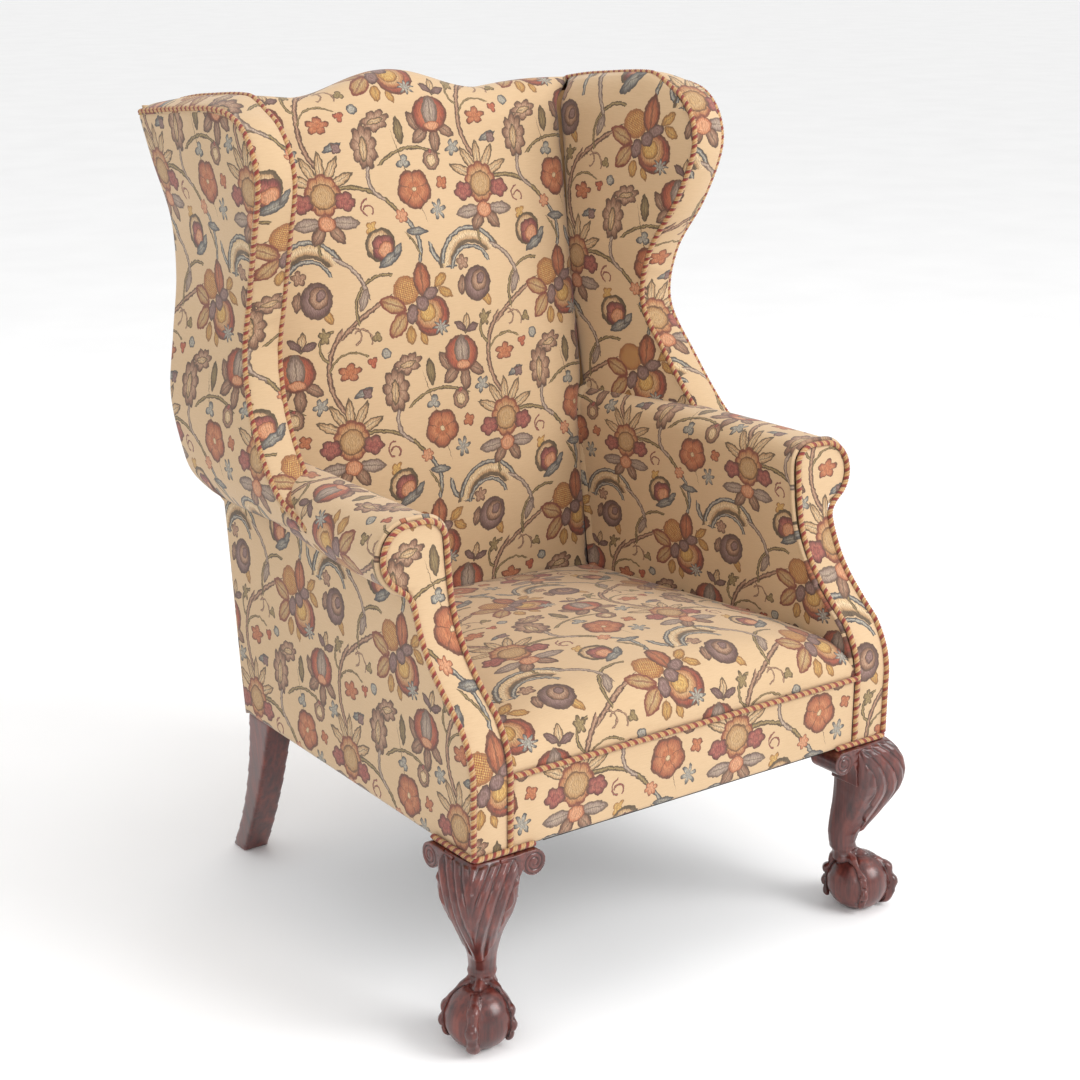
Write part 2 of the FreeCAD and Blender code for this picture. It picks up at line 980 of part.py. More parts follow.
def roll_room():
    # Space of the arm roll with its clearance
    start, runs = arm_outline(
        leg_height, arm_inner_x - fit, front_half + 2, roll_x, arm_height + fit, roll_radius + fit
    )
    return prism_y(front_y, 0, start, *runs)


def outside_wing():
    slab = wing_sections(0, panel)
    region = wing_region(wing_facing, panel + fit, arm_height - 52, under_roll + 4)
    return slab.common(region)


def wing_frame():
    slab = wing_sections(panel + fit, panel + fit + wing_board)
    band = wing_band(wing_facing, wing_facing + wing_rail_depth)
    frame = slab.common(band).common(above(arm_core_top + glue)).common(ahead_of(panel + fit))
    post = frame.common(below(wing_split))
    rail = frame.common(above(wing_split + glue))
    return biggest(post), biggest(rail)


def biggest(shape):
    return max(shape.Solids, key=lambda s: s.Volume)


def wing_pad():
    near = panel + wing_board + 3 * fit
    slab = wing_sections(near, wing_width, pad_half + fit, wing_pad_crown)
    region = wing_region(wing_facing, panel + post_depth + fit, arm_height + fit, arm_height + fit)
    beside = box(
        pad_half + fit, front_half * 2, -base_depth * 2, base_depth, arm_height + fit, chair_height * 1.2
    )
    return biggest(slab.common(region).common(beside))


# Back


def crest_points(drop, half, count):
    points = []
    for i in range(count + 1):
        x = half - 2 * half * i / count
        points.append((x, crest_z(x) - drop))
    return points


def raked_slab(near, far):
    # Slab parallel to the back, between two distances forward of the rear plane
    low, high = leg_height - 20, chair_height * 1.1
    return prism_x(
        -front_half * 2,
        front_half * 2,
        (rear_y(low) - near, low),
        [(rear_y(high) - near, high)],
        [(rear_y(high) - far, high)],
        [(rear_y(low) - far, low)],
    )


def crest_rail():
    # Serpentine top rail on the two posts; its stepped ends reach the wing top rails
    drop = 16.5
    half = pad_half + 20
    low = post_top + glue
    step = wing_z(wing_top_rear) - wing_facing - 8
    points = crest_points(drop, half, 12)
    reach = front_half + 10
    outline = prism_y(
        -base_depth,
        base_depth,
        (-reach, low),
        [(reach, low)],
        [(reach, step)],
        [(half, step)],
        [points[0]],
        points[1:],
        [(-half, step)],
        [(-reach, step)],
    )
    rail = outline.common(raked_slab(panel, panel + post_depth - glue))
    wing_room = wing_sections(-60, panel + fit + wing_board + glue)
    return biggest(rail.cut([wing_room, mirrored(wing_room)]))


def lower_back_rail():
    low = rail_top + 105
    half = rear_block_inner - glue
    bar = box(-half, half, -base_depth, base_depth, low, low + 45)
    return bar.common(raked_slab(panel + 5, panel + post_depth))


def outside_back():
    drop = 17
    right = [(rear_half, leg_height), (rear_half - 5, under_roll)]
    wing_edge = []
    for share, _, _, flare in wing_rows[1:-1]:
        wing_edge.append((front_half + flare, wing_z(share)))
    top_corner = (front_half + 31, wing_z(0.90))
    wing_edge.append(top_corner)
    left_edge = [(-x, z) for x, z in reversed(wing_edge)]
    crest = crest_points(drop, rear_half, 12)
    outline = prism_y(
        -base_depth,
        base_depth,
        (-rear_half, leg_height),
        [right[0]],
        [right[1]],
        [wing_edge[0]],
        wing_edge[1:],
        [crest[0]],
        crest[1:],
        [left_edge[0]],
        left_edge[1:],
        [(-right[1][0], right[1][1])],
    )
    return outline.common(raked_slab(0, panel - fit))


def pad_swell(x, z):
    # Forward swell of the inside back: nothing at the seat, full in the middle, less at the top
    low = seat_edge_height + seat_side_rise
    side = 1 - (x / pad_half) ** 2
    share = min(max((z - low) / (chair_height - low), 0), 1)
    rise = math.sin(math.pi * share ** 0.8) ** 1.2
    return back_pad_edge + back_pad_crown * side * (0.85 * rise + 0.3 * share * share)


def back_pad():
    low = rail_top + 2 * webbing_thickness + 2 * fit
    tuck = seat_edge_height + seat_side_rise
    drop = 14
    sections = []
    for i in range(13):
        x = -pad_half + pad_half * i / 6
        top = crest_z(x)
        rail_edge = top - drop + fit
        front_top = top - 34
        nose = (board_y(front_top) - back_skin - pad_swell(x, front_top), front_top)
        face = []
        for share in (0.86, 0.70, 0.53, 0.36, 0.18, 0.0):
            z = tuck + share * (front_top - tuck)
            face.append((board_y(z) - back_skin - pad_swell(x, z), z))
        foot = (board_y(low) - back_skin - back_pad_edge, low)
        rear_top = (rear_y(top) - panel * 0.5, top - 4)
        high_mid = ((rear_top[0] + nose[0]) / 2 - 4, top)
        wire = section(
            lambda y, z: V(x, y, z),
            (board_y(low) - back_skin, low),
            [(board_y(rail_edge) - back_skin, rail_edge)],
            [(rear_y(rail_edge), rail_edge)],
            [rear_top],
            [high_mid, nose],
            *arcs(face),
            [foot],
        )
        sections.append(wire)
    pad = skin(sections)
    # Between the arms the pad is narrower
    inner = arm_inner_x - 10 - fit
    side = box(inner, front_half * 2, -base_depth, base_depth, 0, arm_height + fit)
    return pad.cut([side, mirrored(side)])


def strip_layer(boxes, near, far):
    return [b.common(raked_slab(near, far)) for b in boxes]


def back_webbing():
    near = panel + post_depth + fit
    top = chair_height - crest_hump - 40
    low = rail_top + 110
    half = pad_half - 9
    uprights, bands = [], []
    for i in range(4):
        x = (i - 1.5) * half * 0.46
        uprights.append(box(x - webbing_width / 2, x + webbing_width / 2, -500, 500, low, top))
    for i in range(5):
        z = low + 60 + i * (top - low - 120) / 4
        bands.append(box(-half, half, -500, 500, z - webbing_width / 2, z + webbing_width / 2))
    across = strip_layer(bands, near, near + webbing_thickness)
    along = strip_layer(uprights, near + webbing_thickness, near + 2 * webbing_thickness)
    return across + along


def back_hessian():
    near = panel + post_depth + 2 * fit + 2 * webbing_thickness
    top = chair_height - crest_hump - 40
    sheet = box(-pad_half + 6, pad_half - 6, -500, 500, rail_top + 110, top)
    return sheet.common(raked_slab(near, near + hessian))


# Seat


def seat_back_y(z):
    return board_y(z) - back_skin - back_pad_edge - 2 * fit


def seat_webbing():
    low = rail_top + fit
    strips = []
    reach = block_inner_x + 8
    y0 = block_back_y + 20
    y1 = rear_leg_front_y - 20
    for i in range(5):
        y = y0 + (y1 - y0) * (i + 0.5) / 5
        half = side_x(y) - 6
        strips.append(
            box(-half, half, y - webbing_width / 2, y + webbing_width / 2, low, low + webbing_thickness)
        )
    upper = low + webbing_thickness
    for i in range(5):
        x = (i - 2) * reach * 0.36
        strips.append(
            box(
                x - webbing_width / 2,
                x + webbing_width / 2,
                frame_front_y + 6,
                -panel - 10,
                upper,
                upper + webbing_thickness,
            )
        )
    return strips


def seat_platform(z0, z1, inset):
    y_back = seat_back_y(rail_top) - inset
    half = seat_half - inset
    rear = arm_inner_x - 10 - fit - inset
    return prism_z(
        z0,
        z1,
        (-half, frame_front_y + inset),
        [(half, frame_front_y + inset)],
        [(rear, y_back)],
        [(-rear, y_back)],
    )


def seat_hessian():
    low = rail_top + 2 * fit + 2 * webbing_thickness
    return seat_platform(low, low + hessian, 4)


def seat_stuffing():
    low = rail_top + 3 * fit + 2 * webbing_thickness + hessian
    return seat_platform(low, seat_edge_height - fit, 0)


def seat_pad():
    # Crowned pad: rounded nose over the piping, highest a little forward of the middle
    low = seat_edge_height
    back = seat_back_y(low)
    depth = back - front_y
    shape = [(0.010, 0.42, 0.36), (0.035, 0.74, 0.62), (0.085, 0.95, 0.86), (0.17, 1.0, 0.95)]
    shape += [(0.34, 0.96, 1.0), (0.55, 0.80, 0.92), (0.78, 0.62, 0.70)]
    sections = []
    for share_x in (-1, -0.94, -0.82, -0.6, -0.3, 0, 0.3, 0.6, 0.82, 0.94, 1):
        across = 1 - abs(share_x) ** 2.6
        rear_rise = 0.50 * seat_side_rise + 0.30 * seat_crown * across
        top = []
        for share, side, crown in shape:
            z = low + seat_side_rise * side + seat_crown * crown * across
            top.append((front_y + share * depth, z))
        top.append((seat_back_y(low + rear_rise) - fit, low + rear_rise))
        x_front = seat_half * share_x
        x_rear = (arm_inner_x - 10 - fit) * share_x

        def place(y, z):
            along = (y - front_y) / depth
            return V(x_front + along * (x_rear - x_front), y, z)

        wire = section(
            place, (back - fit, low), [(front_y + 1, low)], [(front_y - 1.5, low + 8)], *arcs(top)
        )
        sections.append(wire)
    return skin(sections)


def seat_front_border():
    return box(
        -seat_half,
        seat_half,
        front_y,
        frame_front_y - fit,
        leg_height + fit,
        seat_edge_height - border_top_gap,
    )


def dust_cover():
    z0 = leg_height + fit
    front = frame_front_y
    notch = ear_reach + ear_radius
    rear_notch = rear_leg_width + 16
    points = [
        (-frame_half_front + notch, front),
        (frame_half_front - notch, front),
        (frame_half_front - notch, front + notch),
        (side_x(front + notch), front + notch),
        (side_x(-rear_leg_depth - 18), -rear_leg_depth - 18),
        (rear_block_inner - 14, -rear_leg_depth - 18),
        (rear_block_inner - 14, -panel - 3),
        (-rear_block_inner + 14, -panel - 3),
        (-rear_block_inner + 14, -rear_leg_depth - 18),
        (-side_x(-rear_leg_depth - 18), -rear_leg_depth - 18),
        (-side_x(front + notch), front + notch),
        (-frame_half_front + notch, front + notch),
    ]
    return prism_z(z0, rail_bottom - 0.1, points[0], *[[p] for p in points[1:]])


# Rope piping


def cord_seat_front():
    gap = cord_radius + fit
    half = arm_inner_x - 0.75 * cord_radius - 2 * fit - cord_radius
    points = [V(-half, front_y - gap, seat_edge_height), V(half, front_y - gap, seat_edge_height)]
    return cord(points, cord_radius, V(0, 0, 1))


def cord_arm():
    # Up the inner edge of the arm facing, over the roll and down the outer edge
    off = 0.75 * cord_radius + fit
    curve = sweep_points(-cord_radius - 3 * fit)

    trace = wire_of(lambda y, z: V(0, y, z), curve[0], *sweep_runs(curve), [(0, curve[-1][1])])
    line = [(p.y, p.z) for p in Part.Wire(trace.Edges[:-2]).discretize(Number=60)]

    def y_at(z):
        for (ya, za), (yb, zb) in zip(line, line[1:]):
            if za <= z <= zb:
                return ya + (yb - ya) * (z - za) / (zb - za)
        return line[-1][0]

    top = arm_height + off
    inner = arm_inner_x + cord_radius + fit
    outer = front_half + 2 + off
    radius = roll_radius + off
    start = leg_height + 3 * cord_radius
    heights = [start, (start + seat_edge_height) / 2]
    heights += [z for y, z in curve if seat_edge_height < z < under_roll - 6]
    points = [V(inner, y_at(z), z) for z in heights]
    round_top = [(inner, roll_z - 12), (inner, arm_height - 24), (inner + 8, top - 8), (inner + 26, top)]
    round_top.append((roll_x, top))
    for angle in (60, 30, 0, -30, -55):
        turn = math.radians(angle)
        round_top.append((roll_x + radius * math.cos(turn), roll_z + radius * math.sin(turn)))
    points += [V(x, y_at(z), z) for x, z in round_top]
    down = [z for z in reversed(heights)]
    points += [V(outer, y_at(z), z) for z in down]
    return cord(points, cord_radius, V(0, 1, 0), 34)


def wing_outer_x(z, y):
    reach, front, rear = wing_row((z - arm_height) / wing_height)
    yf = rear_y(z) - wing_depth * reach
    along = (y - yf) / (rear_y(z) - yf)
    return front_half + front + along * (rear - front)


def cords_wing():
    # One cord on each edge of the wing facing
    off = cord_radius + fit
    curve, corner = wing_line(-off)
    line = [p for p in curve if p[1] > arm_height + 2 * cord_radius]
    end = line[-1]
    for share in (0.33, 0.66, 0.97):
        line.append((end[0] + share * (corner[0] - end[0]), end[1] + share * (corner[1] - end[1])))
    outer, inner = [], []
    for y, z in line:
        x = wing_outer_x(z, y)
        outer.append(V(x + off + facet_room, y, z))
        inner.append(V(x - wing_width - off, y, z))
    cords = [cord(outer, cord_radius, V(1, 0, 0), 32)]
    cords.append(cord(inner[:-1], cord_radius, V(1, 0, 0), 28))
    return cords


def cord_leg_top():
    gap = cord_radius + fit
    z = leg_height + gap
    reach = ear_reach + 6
    x = front_half + 2 + gap
    y = front_y - gap
    arm = [V(front_half - reach, y, z), V(x, y, z), V(x, front_y + reach, z)]
    half_width = cord_radius * 0.9
    low = Part.Face(ring([V(*p) for p in corner_strip(arm, half_width)]))
    return low.extrude(V(0, 0, 2 * half_width)).translated(V(0, 0, -half_width))


def corner_strip(path, half):
    a, b, c = path
    return [
        (a.x, a.y - half, a.z),
        (b.x + half, b.y - half, b.z),
        (c.x + half, c.y, c.z),
        (c.x - half, c.y, c.z),
        (b.x - half, b.y + half, b.z),
        (a.x, a.y + half, a.z),
    ]


# Dowels


def dowel_lines():
    # Arm post to leg block, arm rail to back post, crest rail to back post
    post_mid_y = frame_front_y + leg_block / 2
    lines = []
    for x in (arm_core_x + 10, arm_core_x + 28):
        lines.append((V(x, front_y + facing + arm_board / 2, rail_top), V(0, 0, 1)))
    z = (arm_core_top + arm_core_bottom) / 2
    lines.append((V(arm_core_x, board_y(z), z - 8), V(0, 1, 0)))
    lines.append((V(arm_core_x, board_y(z), z + 8), V(0, 1, 0)))
    top = post_top
    axis = V(0, back_rake, 1).normalize()
    for x in (rear_block_inner + 9, post_outer - 9):
        lines.append((V(x, rear_y(top) - panel - post_depth / 2, top), axis))
    return lines


def dowels():
    pins, holes = [], []
    for middle, axis in dowel_lines():
        length = 36 if abs(axis.y) > 0.9 else dowel_length
        pins.append(peg(middle - axis * (length / 2), axis, length, dowel_radius))
        room = length / 2 + 1
        holes.append(peg(middle - axis * room, axis, 2 * room, dowel_radius + hole))
    return pins, holes


# Assembly


def cut_all(shape, tools):
    box_of = shape.BoundBox
    near = [t for t in tools if box_of.intersect(t.BoundBox)]
    return shape.cut(near) if near else shape


def build():
    nodes = {}

    def side_pair(name, pieces):
        if not isinstance(pieces, list):
            pieces = [pieces]
        nodes[name + "_left"] = pieces
        nodes[name + "_right"] = [mirrored(p) for p in pieces]

    pins, pin_holes = dowels()
    left_holes = pin_holes
    all_holes = left_holes + [mirrored(h) for h in left_holes]

    side_rail = side_seat_rail()
    front_rail = front_seat_rail()
    rear_rail = rear_seat_rail()
    leg = front_leg()
    foot = rear_leg()
    front_mortise, side_mortise, rear_mortise = mortises()
    leg = leg.cut([front_mortise, side_mortise])
    foot = foot.cut([side_mortise, rear_mortise])

    post_wing, rail_wing = wing_frame()
    outer_wing = outside_wing()
    pad_arm = arm_pad()
    wing_room = wing_sections(-20, panel + fit).common(
        wing_region(wing_facing - fit, 0, arm_height - 52 - fit, under_roll + 4 - fit)
    )
    post_room = wing_sections(panel, panel + wing_board + 2 * fit).common(
        wing_band(wing_facing - fit, wing_facing + wing_rail_depth + fit)
    )
    pad_arm = biggest(pad_arm.cut([wing_room, post_room]))
    rail_arm = biggest(arm_rail().cut(wing_room))

    side_pair("front_leg", cut_all(leg, left_holes))
    side_pair("knee_brackets", knee_brackets())
    side_pair("rear_leg", foot)
    nodes["front_seat_rail"] = [cut_all(front_rail, all_holes)]
    nodes["rear_seat_rail"] = [cut_all(rear_rail, all_holes)]
    side_pair("side_seat_rail", cut_all(side_rail, all_holes))
    braces = [front_brace(), rear_brace()]
    nodes["corner_blocks"] = braces + [mirrored(b) for b in braces]
    side_pair("back_post", cut_all(back_post(), left_holes))
    nodes["crest_rail"] = [cut_all(crest_rail(), all_holes)]
    nodes["lower_back_rail"] = [lower_back_rail()]
    side_pair("arm_post", cut_all(arm_post(), left_holes))
    side_pair("arm_rail", cut_all(rail_arm, left_holes))
    side_pair("arm_tacking_rail", tacking_rail())
    side_pair("wing_post", post_wing)
    side_pair("wing_top_rail", rail_wing)
    nodes["frame_dowels"] = pins + [mirrored(p) for p in pins]

    nodes["seat_webbing"] = seat_webbing()
    nodes["seat_hessian"] = [seat_hessian()]
    nodes["seat_stuffing"] = [seat_stuffing()]
    nodes["seat_pad"] = [seat_pad()]
    nodes["seat_front_border"] = [seat_front_border()]
    nodes["dust_cover"] = [dust_cover()]

    nodes["back_webbing"] = back_webbing()
    nodes["back_hessian"] = [back_hessian()]
    nodes["inside_back_pad"] = [back_pad()]
    nodes["outside_back"] = [outside_back()]

    side_pair("inside_wing_pad", wing_pad())
    facing_wing = wing_facing_piece()
    side_pair("wing_facing", facing_wing)
    side_pair("outside_wing", outer_wing)
    side_pair("arm_pad", pad_arm)
    side_pair("arm_facing", arm_facing())
    side_pair("outside_arm", outside_arm())

    nodes["piping_seat_front"] = [cord_seat_front()]
    side_pair("piping_arm", cord_arm())
    # The wing cords are pressed flat where they touch the wing
    side_pair("piping_wing", [biggest(c.cut([facing_wing, outer_wing])) for c in cords_wing()])
    leg_top = cord_leg_top()
    nodes["piping_leg_tops"] = [leg_top, mirrored(leg_top)]
    return nodes


def solids_in(pieces):
    found = []
    for piece in pieces:
        found += piece.Solids
    return found


def main():
    nodes = {name: Part.makeCompound(solids_in(pieces)) for name, pieces in build().items()}
    whole = Part.makeCompound(list(nodes.values())).BoundBox
    centred = V(0, -(whole.YMin + whole.YMax) / 2, 0)
    os.makedirs("parts", exist_ok=True)
    for name, shape in nodes.items():
        shape.translate(centred)
        shape.exportStep("parts/" + name + ".step")


main()
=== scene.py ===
import math
import bmesh
import bpy
import numpy as np
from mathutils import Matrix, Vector, noise


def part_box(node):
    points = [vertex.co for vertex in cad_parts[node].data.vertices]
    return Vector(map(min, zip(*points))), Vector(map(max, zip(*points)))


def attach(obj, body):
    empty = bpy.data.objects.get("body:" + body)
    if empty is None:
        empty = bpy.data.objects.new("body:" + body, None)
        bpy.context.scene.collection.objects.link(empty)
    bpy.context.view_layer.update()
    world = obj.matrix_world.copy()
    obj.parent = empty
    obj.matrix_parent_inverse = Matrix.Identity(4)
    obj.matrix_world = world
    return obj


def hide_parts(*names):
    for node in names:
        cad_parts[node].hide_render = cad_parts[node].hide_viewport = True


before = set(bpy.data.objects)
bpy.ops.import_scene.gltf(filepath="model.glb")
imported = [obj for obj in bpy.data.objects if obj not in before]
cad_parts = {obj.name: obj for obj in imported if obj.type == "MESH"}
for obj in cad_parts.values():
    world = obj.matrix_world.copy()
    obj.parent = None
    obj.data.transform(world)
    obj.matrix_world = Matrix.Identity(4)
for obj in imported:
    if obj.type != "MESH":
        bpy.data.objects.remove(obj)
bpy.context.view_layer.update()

# Sizes in millimetres, as the CAD solids have them. While a piece is drawn, y = 0 is the back edge
# of the upholstered base; at_frame() moves it into the CAD frame.
chair_height = 1140
leg_height = 258
front_half = 346
rear_half = 329
front_y = -610
back_rake = 0.158
arm_height = 653
seat_edge = 358
facing_width = 54
facing_corner = 26
arm_sweep = 138
roll_radius = 40
seat_side_rise = 42
seat_crown = 42
back_pad_crown = 50
wing_depth = 317
wing_width = 48
wing_seam_z = 1110
crest_hump = 32
crest_shoulder = 8
hump_half = 160
corner_fill = 34
panel_board = 8
cord_radius = 4
rope_pitch = 12.5
print_step = 0.07
wing_height = chair_height - arm_height
arm_inner = front_half + 2 - facing_width
pad_half = rear_half - 29
roll_x = front_half - 1
roll_z = arm_height - roll_radius
under_roll = roll_z - roll_radius
seat_half = arm_inner - 0.3
back_front = 38 + 5.9
shift_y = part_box("seat_front_border")[0][1] * 1000 - front_y


def at_frame(p):
    return Vector((p[0] / 1000, (p[1] + shift_y) / 1000, p[2] / 1000))


def rear_y(z):
    return back_rake * (z - leg_height)


def smooth(t):
    t = min(max(t, 0.0), 1.0)
    return t * t * (3 - 2 * t)


def tuck(distance, radius):
    # How far a padded edge has rolled inward at this distance from its seam
    if distance >= radius:
        return 0.0
    left = radius - max(distance, 0.0)
    return radius - math.sqrt(radius * radius - left * left)


def puff(edge, radius, crown, reach):
    # Height of a stretched panel below its board: rolled at the edge, crowned past it
    return tuck(edge, radius) - crown * smooth(edge / reach)


def blend(rows, at):
    # The later columns of a table at any value of its first column, joined smoothly
    last = len(rows) - 1
    i = 0
    while i < last - 1 and at > rows[i + 1][0]:
        i += 1
    gap = rows[i + 1][0] - rows[i][0]
    t = (at - rows[i][0]) / gap
    values = []
    for column in range(1, len(rows[0])):
        slopes = []
        for k in (i, i + 1):
            low, high = rows[max(k - 1, 0)], rows[min(k + 1, last)]
            slopes.append((high[column] - low[column]) / (high[0] - low[0]) * gap)
        v0, v1 = rows[i][column], rows[i + 1][column]
        lean = t * (1 - t) * ((1 - t) * slopes[0] - t * slopes[1])
        values.append(v0 + (v1 - v0) * t * t * (3 - 2 * t) + lean)
    return values


def lengths(path):
    # Length of the path up to each of its points
    out = [0.0]
    for a, b in zip(path, path[1:]):
        out.append(out[-1] + (b - a).length)
    return out


def even(path, step):
    # The same path at even steps
    runs = lengths(path)
    count = max(int(round(runs[-1] / step)), 2)
    out, k = [], 0
    for i in range(count + 1):
        want = runs[-1] * i / count
        while k < len(runs) - 2 and runs[k + 1] < want:
            k += 1
        span = runs[k + 1] - runs[k]
        out.append(path[k].lerp(path[k + 1], (want - runs[k]) / span if span else 0))
    return out


def divided(path, count):
    return even(path, lengths(path)[-1] / count)


def spline(points, step):
    # Smooth path through points, at even steps
    pts = [Vector(p) for p in points]
    pts = [pts[0] * 2 - pts[1]] + pts + [pts[-1] * 2 - pts[-2]]
    fine = []
    for i in range(1, len(pts) - 2):
        p0, p1, p2, p3 = pts[i - 1:i + 3]
        a, b, c = ((p1 - p0).length ** 0.5, (p2 - p1).length ** 0.5, (p3 - p2).length ** 0.5)
        m1 = (p2 - p1) + ((p1 - p0) / a - (p2 - p0) / (a + b)) * b
        m2 = (p2 - p1) + ((p3 - p2) / c - (p3 - p1) / (b + c)) * b
        for k in range(12):
            t = k / 12
            t2, t3 = t * t, t * t * t
            p = p1 * (2 * t3 - 3 * t2 + 1) + m1 * (t3 - 2 * t2 + t)
            fine.append(p + p2 * (3 * t2 - 2 * t3) + m2 * (t3 - t2))
    fine.append(pts[-2])
    return even(fine, step)


def arc_points(x, z, radius, angles):
    turns = [math.radians(angle) for angle in angles]
    return [Vector((x + radius * math.cos(turn), z + radius * math.sin(turn))) for turn in turns]


def spread(count):
    return [i / (count - 1) for i in range(count)]


def crowded(s, part):
    # 0 to 1 as -1 to 1, with closer steps near both ends
    return math.sin((2 * s - 1) * math.pi / 2) * part + (2 * s - 1) * (1 - part)


# Mesh helpers


def linked(name, mesh):
    for polygon in mesh.polygons:
        polygon.use_smooth = True
    obj = bpy.data.objects.new(name, mesh)
    bpy.context.scene.collection.objects.link(obj)
    return obj


def new_object(name, verts, faces):
    mesh = bpy.data.meshes.new(name)
    mesh.from_pydata([tuple(v) for v in verts], [], faces)
    return linked(name, mesh)


def grid(count_v, count_u, at):
    # Rows of what at(v, u) gives: a point and its place in the print, in mm
    return [[at(v, u) for u in spread(count_u)] for v in spread(count_v)]


def grid_normals(rows):
    normals = []
    last_i, last_j = len(rows) - 1, len(rows[0]) - 1
    for i in range(last_i + 1):
        line = []
        for j in range(last_j + 1):
            du = rows[i][min(j + 1, last_j)][0] - rows[i][max(j - 1, 0)][0]
            dv = rows[min(i + 1, last_i)][j][0] - rows[max(i - 1, 0)][j][0]
            n = du.cross(dv)
            line.append(n.normalized() if n.length > 1e-9 else Vector((0, 0, 1)))
        normals.append(line)
    return normals


def sheet_body(name, rows, depth):
    # Closed body: the show face given as a grid, and a face the given depth behind it.
    # du x dv points out of the show side.
    nv, nu = len(rows), len(rows[0])
    verts, coords = [], []
    normals = grid_normals(rows)
    for side in (0, depth):
        for row, line in zip(rows, normals):
            for (p, (u, v)), normal in zip(row, line):
                verts.append(at_frame(p - normal * side))
                coords.append((u / 1000, v / 1000))
    faces = []
    back = nv * nu
    for i in range(nv - 1):
        for a in range(i * nu, i * nu + nu - 1):
            b, c, d = a + 1, a + nu + 1, a + nu
            faces.append((a, b, c, d))
            faces.append((back + d, back + c, back + b, back + a))
    rim = list(range(nu)) + [i * nu + nu - 1 for i in range(1, nv)]
    rim += [back - nu + j for j in range(nu - 2, -1, -1)] + [i * nu for i in range(nv - 2, 0, -1)]
    for k, a in enumerate(rim):
        b = rim[(k + 1) % len(rim)]
        faces.append((b, a, back + a, back + b))
    obj = new_object(name, verts, faces)
    layer = obj.data.uv_layers.new(name="pattern")
    for loop in obj.data.loops:
        layer.data[loop.index].uv = coords[loop.vertex_index]
    return obj


def mirrored(obj, name):
    # The same piece on the other side of the chair; the print itself isn't mirrored, only moved on
    mesh = obj.data.copy()
    mesh.name = name
    for v in mesh.vertices:
        v.co.x = -v.co.x
    mesh.flip_normals()
    if "cover" in name or "wing" in name or "arm" in name:
        for corner in mesh.uv_layers["pattern"].data:
            corner.uv.x = print_step - corner.uv.x
    return linked(name, mesh)


# Back


def crest_z(x):
    x = abs(x)
    low = chair_height - crest_hump
    if x < hump_half:
        return low + crest_hump * math.cos(math.pi * x / hump_half / 2) ** 2
    swing = math.pi * (x - hump_half) / (rear_half - hump_half) / 1.3
    return low + crest_shoulder * math.sin(swing)


def pad_swell(x, z):
    low = seat_edge + seat_side_rise
    side = 1 - min(abs(x) / pad_half, 1) ** 2.2
    share = min(max((z - low) / (chair_height - low), 0), 1)
    rise = math.sin(math.pi * share ** 0.8) ** 1.2
    return 12 + back_pad_crown * side * (0.85 * rise + 0.3 * share * share)


def inside_back():
    # Up the front of the pad, over the serpentine crest and down to the outside back
    low = seat_edge - 4
    lines = []
    for t in spread(101):
        s = crowded(t, 0.35)
        x_top = s * pad_half
        top = crest_z(x_top)
        line = []
        for k in spread(60):
            z = low + (top - 34 - low) * k
            half = pad_half - 16 * (1 - smooth((z - arm_height + 40) / 70))
            x = s * half
            y = rear_y(z) - back_front - pad_swell(x, z) + tuck((1 - abs(s)) * half, 30)
            line.append(Vector((x, y, z)))
        nose = line[-1]
        rear = Vector((x_top, rear_y(top) - 3, top - 5))
        crown = Vector((x_top, (nose.y + rear.y) / 2 - 6, top + 1))
        behind = Vector((x_top, rear_y(top) + 0.5, top - 17))
        # The ends of the crest widen to close the corner behind the wing
        for p in (crown, rear, behind):
            p.x += math.copysign(corner_fill * smooth((abs(s) - 0.90) / 0.10), s)
        lines.append(even(line[:-3] + spline([line[-3], nose, crown, rear, behind], 4), 8))
    # The same number of steps in each line
    count = max(len(line) for line in lines)
    lines = [divided(line, count - 1) for line in lines]
    lines = [[(p, (p.x, low + run)) for p, run in zip(line, lengths(line))] for line in lines]
    return sheet_body("inside_back", list(zip(*lines)), 9)


def outside_back_half(z):
    share = (z - arm_height) / wing_height
    if z < under_roll - 10:
        return rear_half - 5 * smooth((z - leg_height) / (under_roll - leg_height))
    flare = blend(wing_rows, max(share, -0.16))[2]
    return front_half + flare if z > under_roll + 6 else max(rear_half - 5, front_half + flare)


def outside_back():
    low = leg_height + 0.5
    side_top = wing_z(wing_top_rear)

    def at(q, s):
        half = outside_back_half(low + q * (side_top - low))
        x = (1 - 2 * s) * half
        top = crest_z(x) - 3 if abs(x) < rear_half else side_top + 12
        rise = q * (top - low)
        z = low + rise - 2
        edge = min((1 - abs(1 - 2 * s)) * half, (1 - q) * (top - low), rise + 1.5)
        return Vector((x, rear_y(z) - puff(edge, 5, 1.2, 60), z)), (90 - x, z)

    return sheet_body("outside_back_panel", grid(121, 81, at), 5)


# Seat


def seat_top(share_x):
    # Profile of the crowned pad from the front piping to the back, in y and z
    low = seat_edge
    back = -panel_board - 30 - 5.9 - 12.6 + back_rake * (low - leg_height)
    depth = back - front_y
    shape = [(0.0, 0.04, 0.02), (0.010, 0.42, 0.36), (0.035, 0.74, 0.62), (0.085, 0.95, 0.86)]
    shape += [(0.17, 1.0, 0.95), (0.34, 0.96, 1.0), (0.55, 0.80, 0.92), (0.78, 0.62, 0.70), (1.0, 0.50, 0.30)]
    across = 1 - abs(share_x) ** 2.6
    points = []
    for share, side, crown in shape:
        z = low + seat_side_rise * side + seat_crown * crown * across
        points.append(Vector((front_y + share * depth, z)))
    return points


